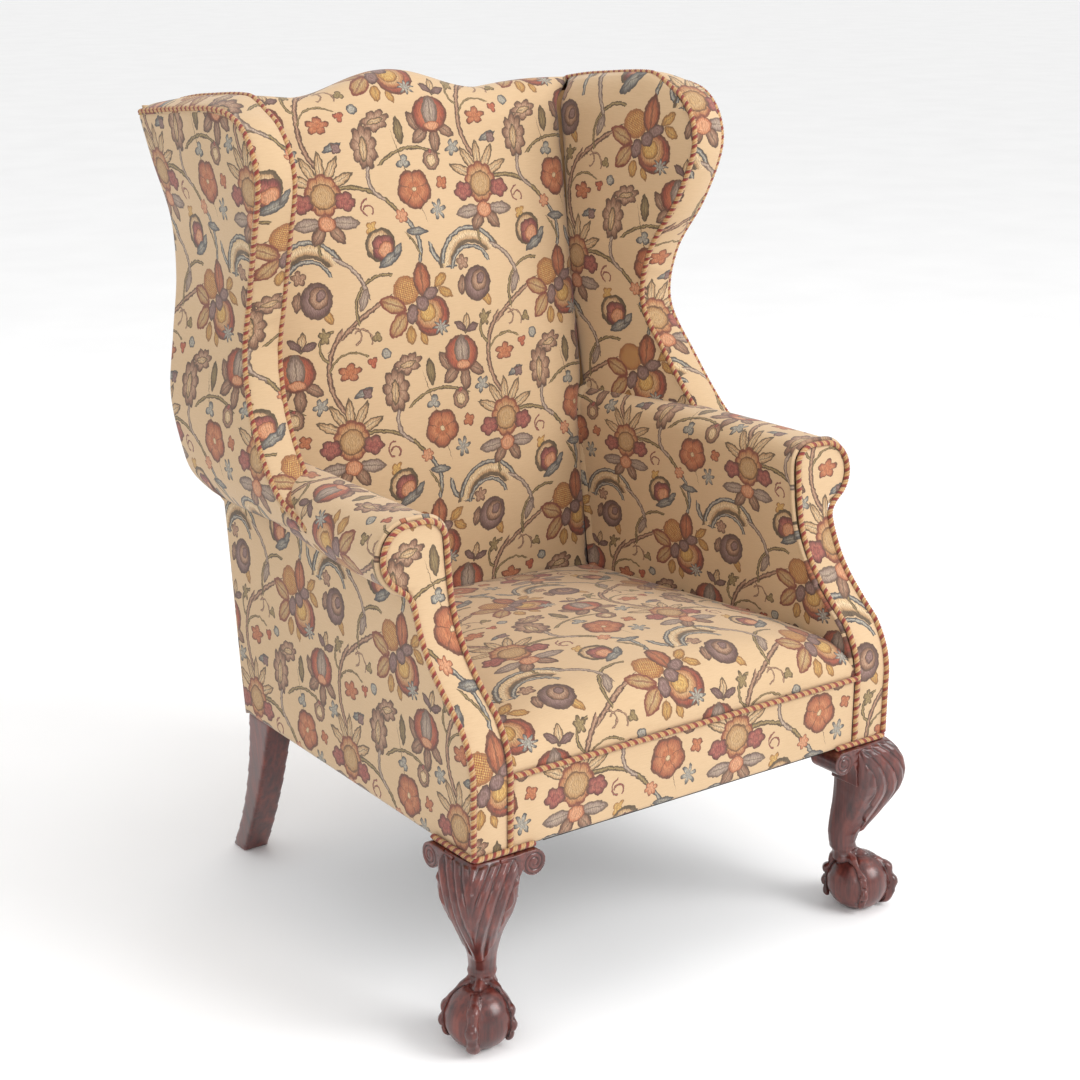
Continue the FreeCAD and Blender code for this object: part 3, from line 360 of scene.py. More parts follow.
def seat_surface():
    steps = 96
    lines = []
    for s in spread(steps + 1):
        share = crowded(s, 0.4)
        line = []
        path = divided(spline(seat_top(share), 3), steps)
        for p, run in zip(path, lengths(path)):
            back = p.x - front_y
            half = seat_half - 10 * back / 560
            z = p.y - tuck((1 - abs(share)) * half, 14) * smooth(back / 25)
            line.append((Vector((share * half, p.x, z)), (share * half, run + 60)))
        lines.append(line)
    return sheet_body("seat_cushion_top", list(zip(*lines)), 8)


def front_border():
    low, high = leg_height + 0.8, seat_edge - 2

    def at(q, s):
        x = (2 * s - 1) * seat_half
        z = low + q * (high - low)
        edge = min(z - low, high - z, seat_half - abs(x))
        return Vector((x, front_y + puff(edge, 4, 1.5, 40), z)), (x + 40, z - 30)

    return sheet_body("seat_front_panel", grid(31, 101, at), 5)


# Arms


def sweep_rows():
    shape = [(0.013, 0.0), (0.115, 0.05), (0.227, 0.188), (0.275, 0.304), (0.329, 0.435)]
    shape += [(0.417, 0.623), (0.519, 0.775), (0.671, 0.906), (1.03, 1.0)]
    rise = arm_height - seat_edge
    rows = [(leg_height, front_y), (seat_edge - 25, front_y)]
    for height, back in shape:
        rows.append((seat_edge + height * rise, front_y + arm_sweep * back))
    return rows


sweep_table = sweep_rows()


def sweep_y(z):
    # Arm front line: y at a height
    return blend(sweep_table, z)[0]


def hook(k, low):
    # Arm section from the bottom of the inside panel, over the top and round the roll;
    # k goes from 0 at the front to 1 at the back
    inner = arm_inner - 10 * k
    radius = roll_radius - 8 * k
    roll = roll_x - 18 * k
    shoulder = arm_height - facing_corner
    points = [Vector((inner, z)) for z in (low, (low + shoulder) / 2, shoulder)]
    points += arc_points(inner + facing_corner, shoulder, facing_corner, (158, 135, 112, 90))
    points.append(Vector(((inner + facing_corner + roll) / 2, arm_height + 0.6)))
    points += arc_points(roll, arm_height - radius, radius, range(90, -96, -15))
    return spline(points, 4)


def arm_cover():
    # Inside panel, top and roll of the arm
    low = seat_edge - 2
    straight_y = front_y + arm_sweep + 44
    length = 380
    base = hook(0, low)

    def at(t, s):
        z_ref = base[int(s * (len(base) - 1))].y
        start = sweep_y(z_ref) + 2.5
        stop = rear_y(z_ref) - back_front - 8
        y = start + t * (stop - start)
        section = hook(smooth((y - straight_y) / (stop - straight_y)), low)
        place = s * (len(section) - 1)
        a = int(place)
        p = section[a].lerp(section[min(a + 1, len(section) - 1)], place - a)
        return Vector((p.x, y, p.y)), (-y, low + s * 520)

    rows = grid(91, 121, at)
    # Both ends roll in towards the seams
    for row, normals, t in zip(rows, grid_normals(rows), spread(91)):
        roll = tuck(t * length, 5) + tuck((1 - t) * length, 10)
        row[:] = [(p + normal * roll, place) for (p, place), normal in zip(row, normals)]
    return sheet_body("arm_cover_left", rows[::-1], 6)


def facing_edges(z):
    inner = arm_inner
    lift = z - (arm_height - facing_corner)
    if lift > 0:
        lift = min(lift, facing_corner)
        inner += facing_corner - math.sqrt(facing_corner ** 2 - lift * lift)
    outer = front_half + 2
    if z > under_roll - 16:
        rise = z - roll_z
        circle = roll_x + math.sqrt(max(roll_radius * roll_radius - rise * rise, 0))
        lead = smooth((z - under_roll + 16) / 22)
        outer = max(front_half + 2 + lead * 6, circle) if rise < 0 else circle
    return inner, outer + 1.2


def arm_facing():
    low, high = leg_height + 0.6, arm_height + 0.5

    def at(q, s):
        z = low + (high - low) * (0.55 * q + 0.45 * math.sin(q * math.pi / 2))
        inner, outer = facing_edges(z)
        x = inner + s * (outer - inner)
        edge = min(x - inner, outer - x, high - z, z - low + 2)
        return Vector((x, sweep_y(z) + puff(edge, 4.5, 1.6, 22), z)), (x + 40, z + 120)

    return sheet_body("arm_front_left", grid(121, 19, at), 5)


def outside_arm():
    low, high = leg_height + 0.6, under_roll + 3

    def at(q, s):
        z = low + q * (high - low)
        x_front = front_half + 1 + 2 * q
        x_rear = rear_half - 5 * q
        start = sweep_y(z) + 2.5
        stop = rear_y(z) - 1.5
        y = start + s * (stop - start)
        x = x_front + (x_rear - x_front) * (y - front_y) / (rear_y(z) - front_y)
        edge = min(y - start, stop - y, z - low + 1)
        return Vector((x - puff(edge, 4, 1.2, 60), y, z)), (y, z)

    return sheet_body("arm_outside_left", grid(61, 101, at), 5)


# Wings

# Height share, forward reach share, outward flare of the front edge and of the rear edge
wing_rows = [
    (-0.170, 1.20, 33, -22),
    (-0.090, 1.10, 36, 14),
    (-0.027, 0.896, 39, 25),
    (0.138, 0.703, 31, 34),
    (0.300, 0.606, 16, 20),
    (0.466, 0.694, 14, 4),
    (0.630, 0.871, 28, 2),
    (0.795, 1.000, 35, 20),
    (1.010, 0.840, 39, 40),
]
wing_corner = [(0.877, 0.984), (0.930, 0.915), (0.952, 0.817), (0.957, 0.690)]
wing_top_rear = 0.917
# Rough height and depth of a wing panel, from which its rolled edges are measured
wing_panel_high = 430
wing_panel_deep = 250


def wing_z(share):
    return arm_height + share * wing_height


def wing_path():
    # Edge of the wing seen from the side, from the arm roll over the top corner to the rear
    points = []
    for share, reach, *_ in wing_rows[1:-1] + wing_corner:
        z = wing_z(share)
        points.append((rear_y(z) - wing_depth * reach, z))
    top = wing_z(wing_top_rear)
    y, z = points[-1]
    points.append(((y + rear_y(top)) / 2, (z + top) / 2 + 1.5))
    points.append((rear_y(top), top))
    return spline(points, 4)


wing_edge = wing_path()


def wing_place(y, z):
    # Flare of the wing's front and rear edge at this height, and the share of the way between them
    reach, front, rear = blend(wing_rows, (z - arm_height) / wing_height)
    start = rear_y(z) - wing_depth * reach
    return front, rear, (y - start) / (rear_y(z) - start)


def wing_outer_x(y, z):
    front, rear, along = wing_place(y, z)
    return front_half + front + along * (rear - front)


def wing_inner_x(y, z):
    front, _, along = wing_place(y, z)
    start = front_half + front - wing_width
    along = min(max(along, -0.2), 1.1)
    bow = 4 * along * (1 - along) if 0 < along < 1 else 0
    return start + along * (pad_half - start) - 12 * bow


def top_lift(y, z):
    # The inner edge of the wing top stands a little higher than the outer one
    return 13 * smooth((z - 1085) / 25) * smooth((y + 150) / 60)


def coons(bottom, right, top, left):
    # Patch between four border paths; bottom and top run the same way, as do left and right
    def on(path, t):
        place = t * (len(path) - 1)
        a = min(int(place), len(path) - 2)
        return path[a].lerp(path[a + 1], place - a)

    def at(u, v):
        p = on(bottom, u) * (1 - v) + on(top, u) * v + on(left, v) * (1 - u) + on(right, v) * u
        p -= on(bottom, 0) * (1 - u) * (1 - v) + on(bottom, 1) * u * (1 - v)
        return p - on(top, 0) * (1 - u) * v - on(top, 1) * u * v

    return at


def wing_patch(low, stop_y, inset):
    # Patch within the wing's edge, above low and before stop_y, and with its rear side set in
    corner = max(range(len(wing_edge)), key=lambda i: wing_edge[i].y - 0.9 * wing_edge[i].x)
    front = divided([p for p in wing_edge[:corner + 1] if p.y >= low], 90)
    top = divided([p for p in wing_edge[corner:] if p.x <= stop_y], 60)[::-1]
    end = top[0]
    heights = [low + (end.y - low) * t for t in spread(91)]
    rear = [Vector((min(rear_y(z) - inset, end.x), z)) for z in heights]
    rear[-1] = end.copy()
    bottom = [rear[0].lerp(front[0], t) for t in spread(61)]
    return coons(bottom, front, top, rear)


def inside_wing():
    patch = wing_patch(arm_height - 3, rear_y(wing_seam_z) - 20, back_front - 4)

    def at(v, u):
        y, z = patch(u, v)
        to_top = (1 - v) * wing_panel_high
        gap = min(to_top, (1 - u) * wing_panel_deep)
        rim = wing_outer_x(y, z) - wing_width
        # The pad rolls outward to the piping over its last few centimetres
        roll = math.sqrt(max(1 - (1 - min(gap / 34, 1)) ** 2, 0))
        x = rim + (wing_inner_x(y, z) - rim) * roll + tuck(u * wing_panel_deep, 24)
        lift = top_lift(y, z) * (1 - smooth(to_top / 40))
        return Vector((x, y, z + lift)), (-y - 130, z + 129)

    return sheet_body("wing_inside_left", [row[::-1] for row in grid(91, 61, at)], 6)


def outside_wing():
    patch = wing_patch(under_roll + 3, math.inf, 0)

    def at(v, u):
        y, z = patch(u, v)
        high, deep = wing_panel_high, wing_panel_deep
        gap = min((1 - v) * high, (1 - u) * deep, u * deep + 1, v * high + 1)
        return Vector((wing_outer_x(y, z) - puff(gap, 4.5, 1.5, 50), y, z)), (y + 130, z - 40)

    return sheet_body("wing_outside_left", grid(91, 61, at), 5)


def along_wing(step):
    # Points of the wing's edge, each with the direction out of the wing and the length so far
    path = even(wing_edge, step)
    places = []
    for i, (p, run) in enumerate(zip(path, lengths(path))):
        ahead = path[min(i + 1, len(path) - 1)] - path[max(i - 1, 0)]
        places.append((p, Vector((-ahead.y, ahead.x)).normalized(), run))
    return places


def wing_front():
    # Front strip of the wing, between its two cords, running on along the top to the rear
    places = along_wing(4)

    def at(q, s):
        p, out, run = places[round(q * (len(places) - 1))]
        across = s * wing_width
        arch = math.sin(math.pi * s)
        crown = 3.0 * arch - tuck(min(across, wing_width - across), 4.5)
        # Gathers where the edge is hollow
        hollow = smooth((p.y - 700) / 40) * (1 - smooth((p.y - 850) / 60))
        fold = math.sin(run / 5.2 + 2.2 * noise.noise(Vector((run / 30, s * 1.5, 3.1))))
        q = p + out * (crown + hollow * 0.9 * fold * arch ** 0.6)
        x = wing_outer_x(p.x, p.y) - across
        return Vector((x, q.x, q.y + top_lift(p.x, p.y) * s)), (150 - across, run + 40)

    return sheet_body("wing_front_left", grid(len(places), 17, at), 5)


# Rope piping: three strands twisted together, as one lobed cord


def rope(name, path):
    points = even(path, 1.6)
    verts, coords = [], []
    sides = 12
    last = len(points) - 1
    normal = (points[1] - points[0]).normalized().orthogonal().normalized()
    for i, (p, run) in enumerate(zip(points, lengths(points))):
        along = (points[min(i + 1, last)] - points[max(i - 1, 0)]).normalized()
        normal = (normal - along * normal.dot(along)).normalized()
        across = along.cross(normal)
        twist = 2 * math.pi * run / rope_pitch
        end = 0.6 if i in (0, last) else 1.0
        for k in range(sides):
            angle = 2 * math.pi * k / sides
            lobe = abs(math.cos(1.5 * (angle - twist)))
            size = cord_radius * (0.74 + 0.30 * lobe) * end
            verts.append(at_frame(p + normal * (size * math.cos(angle)) + across * (size * math.sin(angle))))
            coords.append((k / sides, run / 1000))
    faces = []
    for i in range(last):
        for k in range(sides):
            n = (k + 1) % sides
            faces.append((i * sides + k, i * sides + n, (i + 1) * sides + n, (i + 1) * sides + k))
    faces.append(tuple(range(sides - 1, -1, -1)))
    faces.append(tuple(last * sides + k for k in range(sides)))
    obj = new_object(name, verts, faces)
    # Pattern coordinates per corner, so that the strand lines don't smear over the seam
    layer = obj.data.uv_layers.new(name="pattern")
    for polygon in obj.data.polygons:
        places = [coords[i] for i in polygon.vertices]
        wrap = max(u for u, _ in places) - min(u for u, _ in places) > 0.5
        for corner, (u, v) in zip(polygon.loop_indices, places):
            layer.data[corner].uv = (u + 1 if wrap and u < 0.5 else u, v)
    return obj


def arm_cord_path():
    # Up the inner edge of the facing, over the corner, round the roll and down the outer edge
    x_in, x_out = arm_inner - 0.5, front_half + 2.4
    corner, top = facing_corner + 2, arm_height + 2.5
    radius = roll_radius + 1.6
    path = [(x_in, z) for z in range(leg_height + 3, arm_height - facing_corner, 6)]
    path += arc_points(x_in + corner, top - corner, corner, range(165, 89, -15))
    path += arc_points(roll_x, roll_z, radius, range(85, -62, -8))
    bend, low = path[-1]
    z = low - 6
    while z > leg_height + 3:
        path.append((x_out + (bend - x_out) * max(0, 1 - (low - z) / 26) ** 2, z))
        z -= 6
    return [Vector((x, sweep_y(z) - 1.6, z)) for x, z in path]


def wing_cord_paths():
    outer, inner = [], []
    for p, out, _ in along_wing(5):
        x = wing_outer_x(p.x, p.y)
        q = p + out * 1.6
        outer.append(Vector((x + 1.2, q.x, q.y)))
        if p.y > arm_height - 20 and p.x <= rear_y(wing_seam_z) - 22:
            q = p + out * 3.2
            inner.append(Vector((x - wing_width - 2.4, q.x, q.y + top_lift(p.x, p.y))))
    return outer, inner


def leg_cord_path():
    reach = 92
    x, y = front_half + 3.5, front_y - 3.5
    bends = ((x - reach, y), (x - 6, y), (x - 1.5, y + 1.5), (x, y + 6), (x, y + reach))
    return even([Vector((*bend, leg_height + 4)) for bend in bends], 4)


# Show wood: each piece is remeshed from its CAD solid and softened; the front leg and the scroll ears are
# then carved

leaf_tip = 112
leaf_half = 54
ball_radius = 44
ball_setback = 21
ball_middle = 38
ear_reach = 81
ear_radius = 17
ear_spiral = 5.6


def softened(node, name, voxel, rounds):
    piece = bpy.data.objects.new(name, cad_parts[node].data.copy())
    bpy.context.scene.collection.objects.link(piece)
    remesh = piece.modifiers.new("remesh", "REMESH")
    remesh.mode = "VOXEL"
    remesh.voxel_size = voxel
    soften = piece.modifiers.new("soften", "SMOOTH")
    soften.factor = 0.5
    soften.iterations = rounds
    view = bpy.context.evaluated_depsgraph_get()
    mesh = bpy.data.meshes.new_from_object(piece.evaluated_get(view))
    bpy.data.objects.remove(piece)
    mesh.name = name
    return linked(name, mesh)


def carve(piece, relief):
    # Move each point along its normal by the relief, in mm, at its place in the drawing
    mesh = piece.data
    count = len(mesh.vertices)
    points, normals = np.empty(count * 3), np.empty(count * 3)
    mesh.vertices.foreach_get("co", points)
    mesh.vertex_normals.foreach_get("vector", normals)
    points, normals = points.reshape(-1, 3), normals.reshape(-1, 3)
    drawn = points * 1000 - np.array([0, shift_y, 0])
    points = points + normals * (relief(drawn, normals) / 1000)[:, None]
    mesh.vertices.foreach_set("co", points.ravel())
    mesh.update()


def ease(t):
    t = np.clip(t, 0, 1)
    return t * t * (3 - 2 * t)


def mark(values, place, width):
    # 1 at the place, fading to 0 within about twice the width
    return np.exp(-(((values - place) / width) ** 2))


def diagonal(points):
    # Distance out along the leg's diagonal from the seat corner, and across it
    dx, dy = points[:, 0] - front_half, points[:, 1] - front_y
    return (dx - dy) / math.sqrt(2), (dx + dy) / math.sqrt(2)


def knee_relief(points, normals):
    # Acanthus leaf: a centre rib with strands that sweep up and out, and a lobed raised edge
    _, across = diagonal(points)
    z = points[:, 2]
    side = np.abs(across)
    rise = np.clip((z - leaf_tip) / (leg_height - 8 - leaf_tip), 0, 1)
    half = 3 + leaf_half * rise ** 0.85
    lobes = 1 + 0.16 * np.abs(np.sin((z + 0.7 * side) / 11.5))
    body = 1 - ease((side / (half * lobes) - 0.90) / 0.10)
    facing = ease((normals[:, 0] - normals[:, 1]) / math.sqrt(2) / 0.35)
    ends = ease((z - leaf_tip) / 6) * (1 - ease((z - leg_height + 7) / 5))
    sweep = side / 12.5 - (np.clip(z - leaf_tip, 0, None) / 62) ** 1.3
    strand = np.abs(np.cos(math.pi * sweep)) ** 0.8
    fine = np.abs(np.cos(3 * math.pi * sweep))
    rib = mark(side, 0, 3.6)
    lift = 1.0 + (1 - rib) * (3.6 * (strand - 0.55) + 0.5 * fine) + 2.6 * rib
    return body * lift * facing * ends


def toe_relief(points):
    # Creases behind the knuckles, claws and fine scales on the toes
    out, across = diagonal(points)
    z = points[:, 2]
    out = out + ball_setback
    from_ball = np.sqrt(out ** 2 + across ** 2 + (z - ball_middle) ** 2)
    proud = ease((from_ball - ball_radius - 2.5) / 3.0) * (1 - ease((z - 86) / 8)) * ease(z / 6)
    crease = mark(z, 63, 2.0) + mark(z, 44, 2.0) + mark(z, 24, 1.8)
    bumps = 1.4 * np.cos((z - 53) / 19.5 * 2 * math.pi)
    # The ball rounded off where no toe covers it, and the middle toe down its front
    ring = ball_radius * np.sqrt(np.clip(1 - (0.904 * (z / ball_middle - 1)) ** 2, 0, 1))
    short = ring + 0.3 - np.hypot(out, across)
    bare = (np.abs(short) < 2.4) & (z > 2) & (z < 78)
    toe = np.exp(-((across / 6.0) ** 4)) * ease((out - 14) / 8)
    toe *= (1 - ease((z - 92) / 10)) * ease((z - 3) / 8)
    knuckles = 5.2 + 1.8 * np.cos((z - 62) / 24 * 2 * math.pi)
    lift = proud * (bumps - 2.0 * crease) * (toe < 0.05)
    return lift + np.where(bare & (toe < 0.3), short, 0) + toe * knuckles


def leg_relief(points, normals):
    return knee_relief(points, normals) + toe_relief(points)


def ear_relief(points, normals):
    # Spiral cut in the front face of each scroll ear, and flutes that run on to it from the knee
    dx, dy = points[:, 0] - front_half, points[:, 1] - front_y
    side_ear = dx + dy > 0
    along = np.where(side_ear, dy, -dx) - ear_reach
    face = np.where(side_ear, normals[:, 0], -normals[:, 1])
    up = points[:, 2] - (leg_height - ear_radius)
    radius = np.hypot(along, up)
    turn = np.arctan2(up, -along) / (2 * math.pi)
    groove = mark((radius / ear_spiral + turn) % 1, 0.5, 0.16)
    groove = groove * ease((radius - 3.2) / 1.5) * (1 - ease((radius - 15) / 1.5))
    outside = ease((radius - 17) / 3)
    flute = np.abs(np.sin((up + 0.35 * along) / 3.4)) * outside
    lift = 1.2 * mark(radius, 0, 2.6) - 2.0 * groove + 1.1 * (flute - 0.5) * outside
    return ease((face - 0.6) / 0.3) * lift


# Dust cover, a sheet tacked under the seat rails, and its tacks. The outline is half of it, in mm.

dust_outline = [(239, -354.86), (239, -256.86), (334.21, -256.86), (322.05, 170.14), (265, 170.14)]
dust_outline += [(265, 240.14)]
dust_z = 258.1
dust_sag = 6


def dust_cover():
    half = [Vector((x, y, 0)) for x, y in dust_outline]
    outline = half + [Vector((-p.x, p.y, 0)) for p in reversed(half)]
    bm = bmesh.new()
    bm.faces.new([bm.verts.new(p) for p in outline])
    for axis, low, high in (((1, 0, 0), -330, 330), ((0, 1, 0), -350, 240)):
        for place in range(low, high, 12):
            parts = bm.verts[:] + bm.edges[:] + bm.faces[:]
            bmesh.ops.bisect_plane(bm, geom=parts, plane_co=Vector(axis) * place, plane_no=axis)
    for v in bm.verts:
        x, y = v.co.x, v.co.y
        inner = smooth((300 - abs(x)) / 150) * smooth((y + 330) / 150) * smooth((215 - y) / 150)
        ripple = noise.noise(Vector((x / 45, y / 60, 1.7))) * 1.6 * smooth((310 - abs(x)) / 40)
        v.co = Vector((x, y, dust_z - dust_sag * inner - max(ripple, -0.2) * inner ** 0.3)) / 1000
    bmesh.ops.recalc_face_normals(bm, faces=bm.faces[:])
    bmesh.ops.solidify(bm, geom=bm.faces[:], thickness=0.0005)
    mesh = bpy.data.meshes.new("dust_cover_cloth")
    bm.to_mesh(mesh)
    bm.free()
    area = sum(p.x * q.y - q.x * p.y for p, q in zip(outline, outline[1:] + outline[:1])) / 2
    return linked("dust_cover_cloth", mesh), abs(area) / 1e6


def tacks():
    # Domed heads every few centimetres, a little in from the edge of the dust cover
    places = [(k * 42 - 210, -346) for k in range(11)] + [(k * 46 - 230, 231) for k in range(11)]
    for y in range(-244, 162, 45):
        x = 326 - (y + 256.86) * 12.16 / 427
        places += [(-x, y), (x, y)]
    sides = 12
    verts, faces = [], []
    for x, y in places:
        start = len(verts)
        for radius, drop in ((3.4, -0.4), (3.4, 0.1), (2.7, 0.8), (1.5, 1.15)):
            for k in range(sides):
                turn = 2 * math.pi * k / sides
                p = (x + radius * math.cos(turn), y + radius * math.sin(turn), dust_z - drop)
                verts.append(Vector(p) / 1000)
        for ring in range(start, start + 3 * sides, sides):
            for k in range(sides):
                a, b = ring + k, ring + (k + 1) % sides
                faces.append((b, a, a + sides, b + sides))
        faces.append(tuple(range(start, start + sides)))
        faces.append(tuple(range(start + 4 * sides - 1, start + 3 * sides - 1, -1)))
    return new_object("dust_cover_tacks", verts, faces)


# Camera at the photograph's viewpoint

camera_data = bpy.data.cameras.new("camera")
camera_data.lens = 70.0
camera_data.sensor_width = 36
camera_data.shift_x = 0.0227
camera_data.shift_y = 0.0316
camera = bpy.data.objects.new("camera", camera_data)
camera.location = (-1.6688, -2.2976 + (shift_y - 230) / 1000, 1.3737)
camera.rotation_euler = (math.radians(90 - 17.767), 0, math.radians(-35.815))
bpy.context.scene.collection.objects.link(camera)
bpy.context.scene.camera = camera


# Materials

white = (1, 1, 1, 1)


def tone(r, g, b, gain=1.0):
    # Screen colour 0-255 to linear
    out = []
    for value in (r, g, b):
        value = value / 255
        low = value / 12.92
        high = ((value + 0.055) / 1.055) ** 2.4
        out.append((low if value <= 0.04045 else high) * gain)
    return (*out, 1)


class Nodes:
    # Short calls for adding linked nodes to one material
    def __init__(self, name="", tree=None):
        self.tree = tree
        if tree is None:
            self.material = bpy.data.materials.new(name)
            self.material.use_nodes = True
            self.tree = self.material.node_tree
            self.shader = self.tree.nodes["Principled BSDF"]

    def add(self, kind, inputs=None, **settings):
        node = self.tree.nodes.new("ShaderNode" + kind)
        for key, value in settings.items():
            setattr(node, key, value)
        for key, value in (inputs or {}).items():
            self.feed(node.inputs[key], value)
        return node

    def feed(self, socket, value):
        if isinstance(value, bpy.types.NodeSocket):
            self.tree.links.new(value, socket)
        else:
            socket.default_value = value

    def point(self):
        return self.add("TexCoord").outputs["Object"]

    def pattern(self):
        return self.add("UVMap", uv_map="pattern").outputs[0]

    def math(self, operation, a, b=0.0, c=0.0):
        return self.add("Math", {0: a, 1: b, 2: c}, operation=operation).outputs[0]

    def wave(self, value, pitch):
        return self.math("SINE", self.math("MULTIPLY", value, 2 * math.pi / pitch))

    def vector(self, operation, a, b=(0, 0, 0), c=(0, 0, 0)):
        node = self.add("VectorMath", {0: a, 1: b, 2: c}, operation=operation)
        return node.outputs["Value" if operation == "LENGTH" else "Vector"]

    def split(self, vector):
        return self.add("SeparateXYZ", {0: vector}).outputs

    def mapped(self, vector, place, turn, size):
        inputs = {"Vector": vector, "Location": place, "Rotation": turn, "Scale": size}
        return self.add("Mapping", inputs, vector_type="TEXTURE").outputs[0]

    def ramp(self, factor, *stops):
        node = self.add("ValToRGB", {0: factor})
        elements = node.color_ramp.elements
        while len(elements) < len(stops):
            elements.new(0.5)
        for element, (place, color) in zip(elements, stops):
            element.position = place
            element.color = color
        return node.outputs

    def mix(self, factor, a, b, blend_type="MIX"):
        node = self.add("Mix", {0: factor, 6: a, 7: b}, data_type="RGBA", blend_type=blend_type)
        return node.outputs[2]

    def shade(self, color, factor, *stops, share=1.0):
        # The color times a ramp of the factor
        return self.mix(share, color, self.ramp(factor, *stops)[0], "MULTIPLY")

    def noise(self, vector, scale, detail=2.0, roughness=0.5):
        inputs = {"Vector": vector, "Scale": scale, "Detail": detail, "Roughness": roughness}
        return self.add("TexNoise", inputs).outputs[0]

    def stretched(self, vector, scales, detail=2.0, roughness=0.5):
        return self.noise(self.vector("MULTIPLY", vector, scales), 1.0, detail, roughness)

    def bump(self, height, distance, strength=1.0, under=None):
        inputs = {"Height": height, "Distance": distance, "Strength": strength}
        if under:
            inputs["Normal"] = under
        return self.add("Bump", inputs).outputs[0]

    def finish(self, color, roughness, normal, **values):
        self.feed(self.shader.inputs["Base Color"], color)
        self.feed(self.shader.inputs["Roughness"], roughness)
        self.feed(self.shader.inputs["Normal"], normal)
        for key, value in values.items():
            self.shader.inputs[key.replace("_", " ")].default_value = value
        return self.material


# The printed floral: one repeat, in millimetres from the middle of the large symmetric flower

tile_wide = 267
tile_high = 347
leaf_point = 0.55
ground = (219, 187, 148)
print_gain = 0.83
paints = {
    # Centre, body and edge colours of a motif, then its outline
    "bulb": ((200, 166, 122), (194, 156, 108), (180, 136, 88), (112, 74, 48)),
    "rust": ((202, 128, 88), (180, 98, 62), (158, 78, 52), (98, 46, 36)),
    "brick": ((196, 104, 72), (172, 76, 54), (146, 56, 46), (96, 42, 36)),
    "crimson": ((176, 96, 88), (142, 62, 66), (116, 46, 56), (84, 34, 40)),
    "lilac": ((196, 178, 160), (172, 152, 142), (150, 130, 122), (104, 86, 80)),
    "blue": ((188, 184, 170), (140, 142, 142), (96, 102, 108), (62, 66, 74)),
    "cream": ((232, 208, 170), (222, 190, 146), (196, 158, 116), (86, 70, 54)),
    "salmon": ((222, 164, 128), (212, 148, 110), (194, 120, 84), (126, 66, 52)),
    "olive": ((166, 146, 100), (132, 112, 72), (104, 84, 54), (70, 58, 42)),
    "taupe": ((190, 154, 128), (160, 118, 96), (128, 88, 72), (82, 56, 50)),
    "gold": ((218, 180, 108), (206, 160, 86), (184, 132, 66), (142, 100, 56)),
    "plum": ((150, 120, 118), (122, 90, 92), (96, 66, 70), (74, 48, 50)),
    "tan": ((212, 176, 128), (198, 152, 104), (182, 118, 78), (124, 56, 44)),
    "leaf_tan": ((204, 180, 132), (192, 160, 112), (178, 132, 86), (124, 52, 42)),
}

